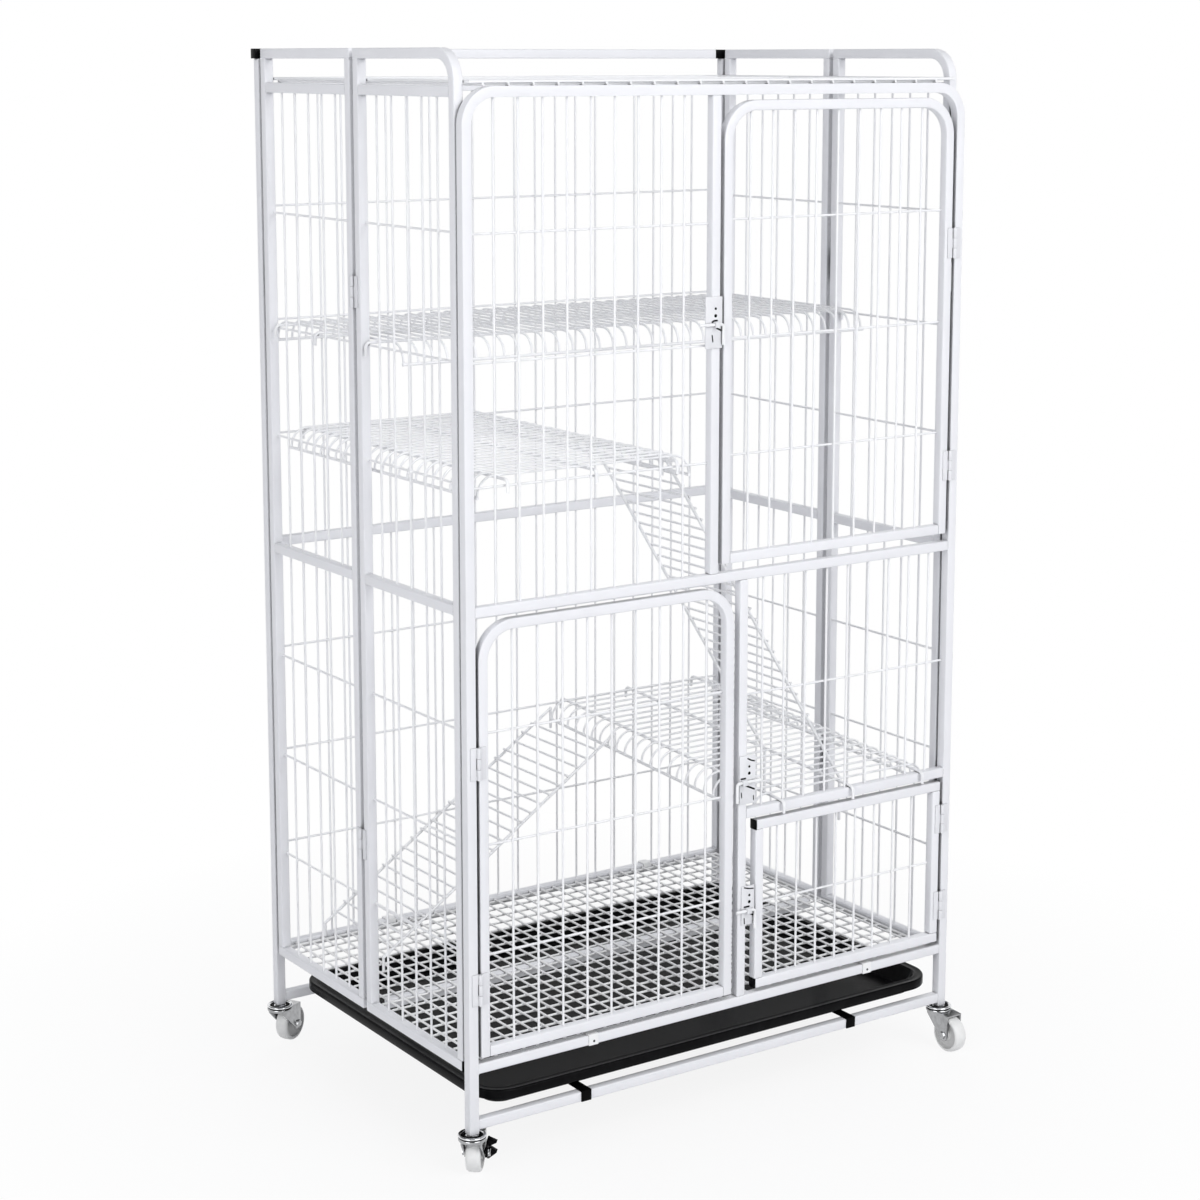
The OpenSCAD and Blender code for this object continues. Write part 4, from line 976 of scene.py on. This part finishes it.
def build_tray():
    low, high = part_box("tray")
    x0, y0, z0 = low
    x1, y1, z1 = high
    # Inset from the outline and height of each ring: the inside, the flat rim, the skirt that
    # turns down from it, the hollow behind the skirt and the outside of the walls
    rings = [(0.0900, z0 + 0.0020), (0.0340, z0 + 0.0020), (0.0270, z0 + 0.0023),
             (0.0243, z0 + 0.0034), (0.0230, z0 + 0.0052), (0.0146, z1 - 0.0020),
             (0.0138, z1 - 0.0006), (0.0124, z1 - 0.0001), (0.0108, z1 - 0.0005),
             (0.0038, z1 - 0.0005), (0.0026, z1), (0.0010, z1 - 0.0004), (0.0002, z1 - 0.0015),
             (0.0000, z1 - 0.0030), (0.0000, z1 - 0.0116), (0.0004, z1 - 0.0123),
             (0.0014, z1 - 0.0124), (0.0019, z1 - 0.0118), (0.0021, z1 - 0.0040),
             (0.0036, z1 - 0.0024), (0.0098, z1 - 0.0024), (0.0114, z1 - 0.0038),
             (0.0197, z0 + 0.0054), (0.0207, z0 + 0.0022), (0.0226, z0 + 0.0006),
             (0.0250, z0), (0.0340, z0)]
    bm = bmesh.new()

    def ring(inset, z):
        radius = max(TRAY_CORNER_LEAST, TRAY_CORNER - inset)
        return [bm.verts.new(p) for p in
                round_loop(x0 + inset, x1 - inset, y0 + inset, y1 - inset, radius, z)]

    chain = [ring(*r) for r in rings]
    for a, b in zip(chain, chain[1:]):
        n = len(a)
        for k in range(n):
            bm.faces.new((a[k], a[(k + 1) % n], b[(k + 1) % n], b[k]))
    bm.faces.new(chain[0])
    bm.faces.new(chain[-1])
    bmesh.ops.recalc_face_normals(bm, faces=bm.faces)
    obj = object_from(bm, "litter_tray_moulded")
    smooth_by_angle(obj.data, SMOOTH_TRAY)
    finish_piece(obj, "litter_tray", ("tray",), finish_of("black_plastic"))


# Studio, in metres. Lamps stand at these places, are this wide and point at the cage's middle
CAGE_MIDDLE = (0.0, 0.0, 0.65)
KEY_PLACE = (0.7, -4.1, 3.2)
KEY_SIZE = 3.0
FILL_PLACE = (-3.9, -1.6, 2.0)
BACK_PLACE = (2.6, 3.2, 2.4)
SIDE_SIZE = 2.4
# Half the floor's length, and the distances between which it fades to plain white
FLOOR_REACH = 14.0
FADE_START = 0.35
FADE_END = 1.1
# Share of plain white in the floor below the cage
NEAR_WHITE = 0.88
# Heights, from 0 straight down to 1 straight up, between which the surroundings turn from
# white to the shade overhead
WALL_TOP = 0.42
CEILING_START = 0.62
CEILING_SHADE = 0.10
# Photograph's camera, fitted to points on the frame: place, angles below the horizon and from
# the Y axis in degrees, and the shift
CAMERA_PLACE = (-1.8984, -2.7773, 1.3750)
CAMERA_PITCH = 9.022
CAMERA_TURN = 34.135
CAMERA_SHIFT = -0.120


class PLAYPEN_OT_studio(bpy.types.Operator):
    """Floor, lights, surroundings and camera"""
    bl_idname = "playpen.studio"
    bl_label = "Studio"

    def execute(self, context):
        settings = context.scene.playpen_studio
        build_floor()
        build_world(settings.sky)
        area_light("key", KEY_PLACE, KEY_SIZE, settings.key_power)
        area_light("fill", FILL_PLACE, SIDE_SIZE, settings.fill_power)
        back = area_light("back", BACK_PLACE, SIDE_SIZE, settings.back_power)
        back.visible_glossy = False
        build_camera(settings.focal_length)
        context.scene.view_settings.view_transform = "Standard"
        return {"FINISHED"}


def build_floor():
    mesh = bpy.data.meshes.new("studio_floor")
    r = FLOOR_REACH
    mesh.from_pydata([(-r, -r, 0), (r, -r, 0), (r, r, 0), (-r, r, 0)], [], [(0, 1, 2, 3)])
    floor = new_object("studio_floor", mesh)
    floor.data.materials.append(floor_shader())


def background_rays(nodes, links):
    """1 for the rays that show the background: from the camera, and off gloss or through glass."""
    path = nodes.new("ShaderNodeLightPath")
    total = path.outputs["Is Camera Ray"]
    for kind in ("Is Glossy Ray", "Is Transmission Ray"):
        either = nodes.new("ShaderNodeMath")
        either.operation = "MAXIMUM"
        links.new(total, either.inputs[0])
        links.new(path.outputs[kind], either.inputs[1])
        total = either.outputs["Value"]
    return total


def floor_shader():
    """Pale floor that fades to plain white away from the object and keeps its shadow."""
    material = bpy.data.materials.new("studio_floor")
    material.use_nodes = True
    nodes, links = material.node_tree.nodes, material.node_tree.links
    nodes.clear()
    out = nodes.new("ShaderNodeOutputMaterial")
    diffuse = nodes.new("ShaderNodeBsdfDiffuse")
    diffuse.inputs["Color"].default_value = (0.82, 0.82, 0.83, 1.0)
    glow = nodes.new("ShaderNodeEmission")
    glow.inputs["Strength"].default_value = 1.0
    seen = background_rays(nodes, links)
    place = nodes.new("ShaderNodeTexCoord")
    length = nodes.new("ShaderNodeVectorMath")
    length.operation = "LENGTH"
    links.new(place.outputs["Object"], length.inputs[0])
    fade = map_range(nodes, links, length.outputs["Value"], FADE_START, FADE_END,
                     NEAR_WHITE, 1.0)
    share = nodes.new("ShaderNodeMath")
    share.operation = "MULTIPLY"
    links.new(seen, share.inputs[0])
    links.new(fade, share.inputs[1])
    mix = nodes.new("ShaderNodeMixShader")
    links.new(share.outputs["Value"], mix.inputs["Fac"])
    links.new(diffuse.outputs["BSDF"], mix.inputs[1])
    links.new(glow.outputs["Emission"], mix.inputs[2])
    links.new(mix.outputs["Shader"], out.inputs["Surface"])
    return material


def ceiling_shade(nodes, links):
    """White up to half height and darker overhead, as a studio's walls and ceiling are."""
    way = nodes.new("ShaderNodeTexCoord")
    parts = nodes.new("ShaderNodeSeparateXYZ")
    links.new(way.outputs["Generated"], parts.inputs["Vector"])
    return map_range(nodes, links, parts.outputs["Z"], WALL_TOP, CEILING_START, 1.0,
                     CEILING_SHADE)


def build_world(sky):
    """Even studio light: white to the camera and in reflections, softer as a lamp."""
    world = bpy.data.worlds.new("studio")
    bpy.context.scene.world = world
    world.use_nodes = True
    nodes, links = world.node_tree.nodes, world.node_tree.links
    nodes.clear()
    out = nodes.new("ShaderNodeOutputWorld")
    seen = nodes.new("ShaderNodeBackground")
    links.new(ceiling_shade(nodes, links), seen.inputs["Color"])
    lamp = nodes.new("ShaderNodeBackground")
    lamp.inputs["Color"].default_value = (0.93, 0.95, 1.0, 1.0)
    lamp.inputs["Strength"].default_value = sky
    mix = nodes.new("ShaderNodeMixShader")
    links.new(background_rays(nodes, links), mix.inputs["Fac"])
    links.new(lamp.outputs["Background"], mix.inputs[1])
    links.new(seen.outputs["Background"], mix.inputs[2])
    links.new(mix.outputs["Shader"], out.inputs["Surface"])


def area_light(name, place, size, power):
    data = bpy.data.lights.new(name, "AREA")
    data.size = size
    data.energy = power
    light = bpy.data.objects.new(name, data)
    light.location = place
    aim = Vector(CAGE_MIDDLE) - Vector(place)
    light.rotation_euler = aim.to_track_quat("-Z", "Y").to_euler()
    bpy.context.scene.collection.objects.link(light)
    return light


def build_camera(focal):
    data = bpy.data.cameras.new("camera")
    data.sensor_width = 36.0
    data.lens = focal
    data.shift_y = CAMERA_SHIFT
    data.clip_end = 60.0
    camera = bpy.data.objects.new("camera", data)
    camera.location = CAMERA_PLACE
    camera.rotation_euler = (math.radians(90 - CAMERA_PITCH), 0.0, math.radians(-CAMERA_TURN))
    bpy.context.scene.collection.objects.link(camera)
    bpy.context.scene.camera = camera


class PLAYPEN_PT_panel(bpy.types.Panel):
    """Shows the playpen's settings and steps in the sidebar"""
    bl_idname = "PLAYPEN_PT_panel"
    bl_label = "Cat Playpen"
    bl_space_type = "VIEW_3D"
    bl_region_type = "UI"
    bl_category = "Playpen"

    def draw(self, context):
        layout = self.layout
        for settings in (context.scene.playpen_frame, context.scene.playpen_finish,
                         context.scene.playpen_studio):
            box = layout.box()
            for key in settings.__annotations__:
                box.prop(settings, key)
        for step in STEPS:
            layout.operator(step.bl_idname)


SETTINGS = (PlaypenFrameSettings, PlaypenFinishSettings, PlaypenStudioSettings)
STEPS = (
    PLAYPEN_OT_finishes, PLAYPEN_OT_tubes, PLAYPEN_OT_fittings, PLAYPEN_OT_plate_hole_shade,
    PLAYPEN_OT_welds, PLAYPEN_OT_casters, PLAYPEN_OT_tray, PLAYPEN_OT_studio,
)


def register():
    for cls in SETTINGS + STEPS + (PLAYPEN_PT_panel,):
        bpy.utils.register_class(cls)
    scene = bpy.types.Scene
    scene.playpen_frame = bpy.props.PointerProperty(type=PlaypenFrameSettings)
    scene.playpen_finish = bpy.props.PointerProperty(type=PlaypenFinishSettings)
    scene.playpen_studio = bpy.props.PointerProperty(type=PlaypenStudioSettings)


def unregister():
    scene = bpy.types.Scene
    for key in ("playpen_frame", "playpen_finish", "playpen_studio"):
        delattr(scene, key)
    for cls in reversed(SETTINGS + STEPS + (PLAYPEN_PT_panel,)):
        bpy.utils.unregister_class(cls)


def main():
    register()
    bpy.ops.playpen.finishes()
    bpy.ops.playpen.tubes()
    bpy.ops.playpen.fittings()
    bpy.ops.playpen.plate_holes()
    bpy.ops.playpen.welds()
    bpy.ops.playpen.casters()
    bpy.ops.playpen.tray()
    bpy.ops.playpen.studio()


if __name__ == "__main__":
    main()
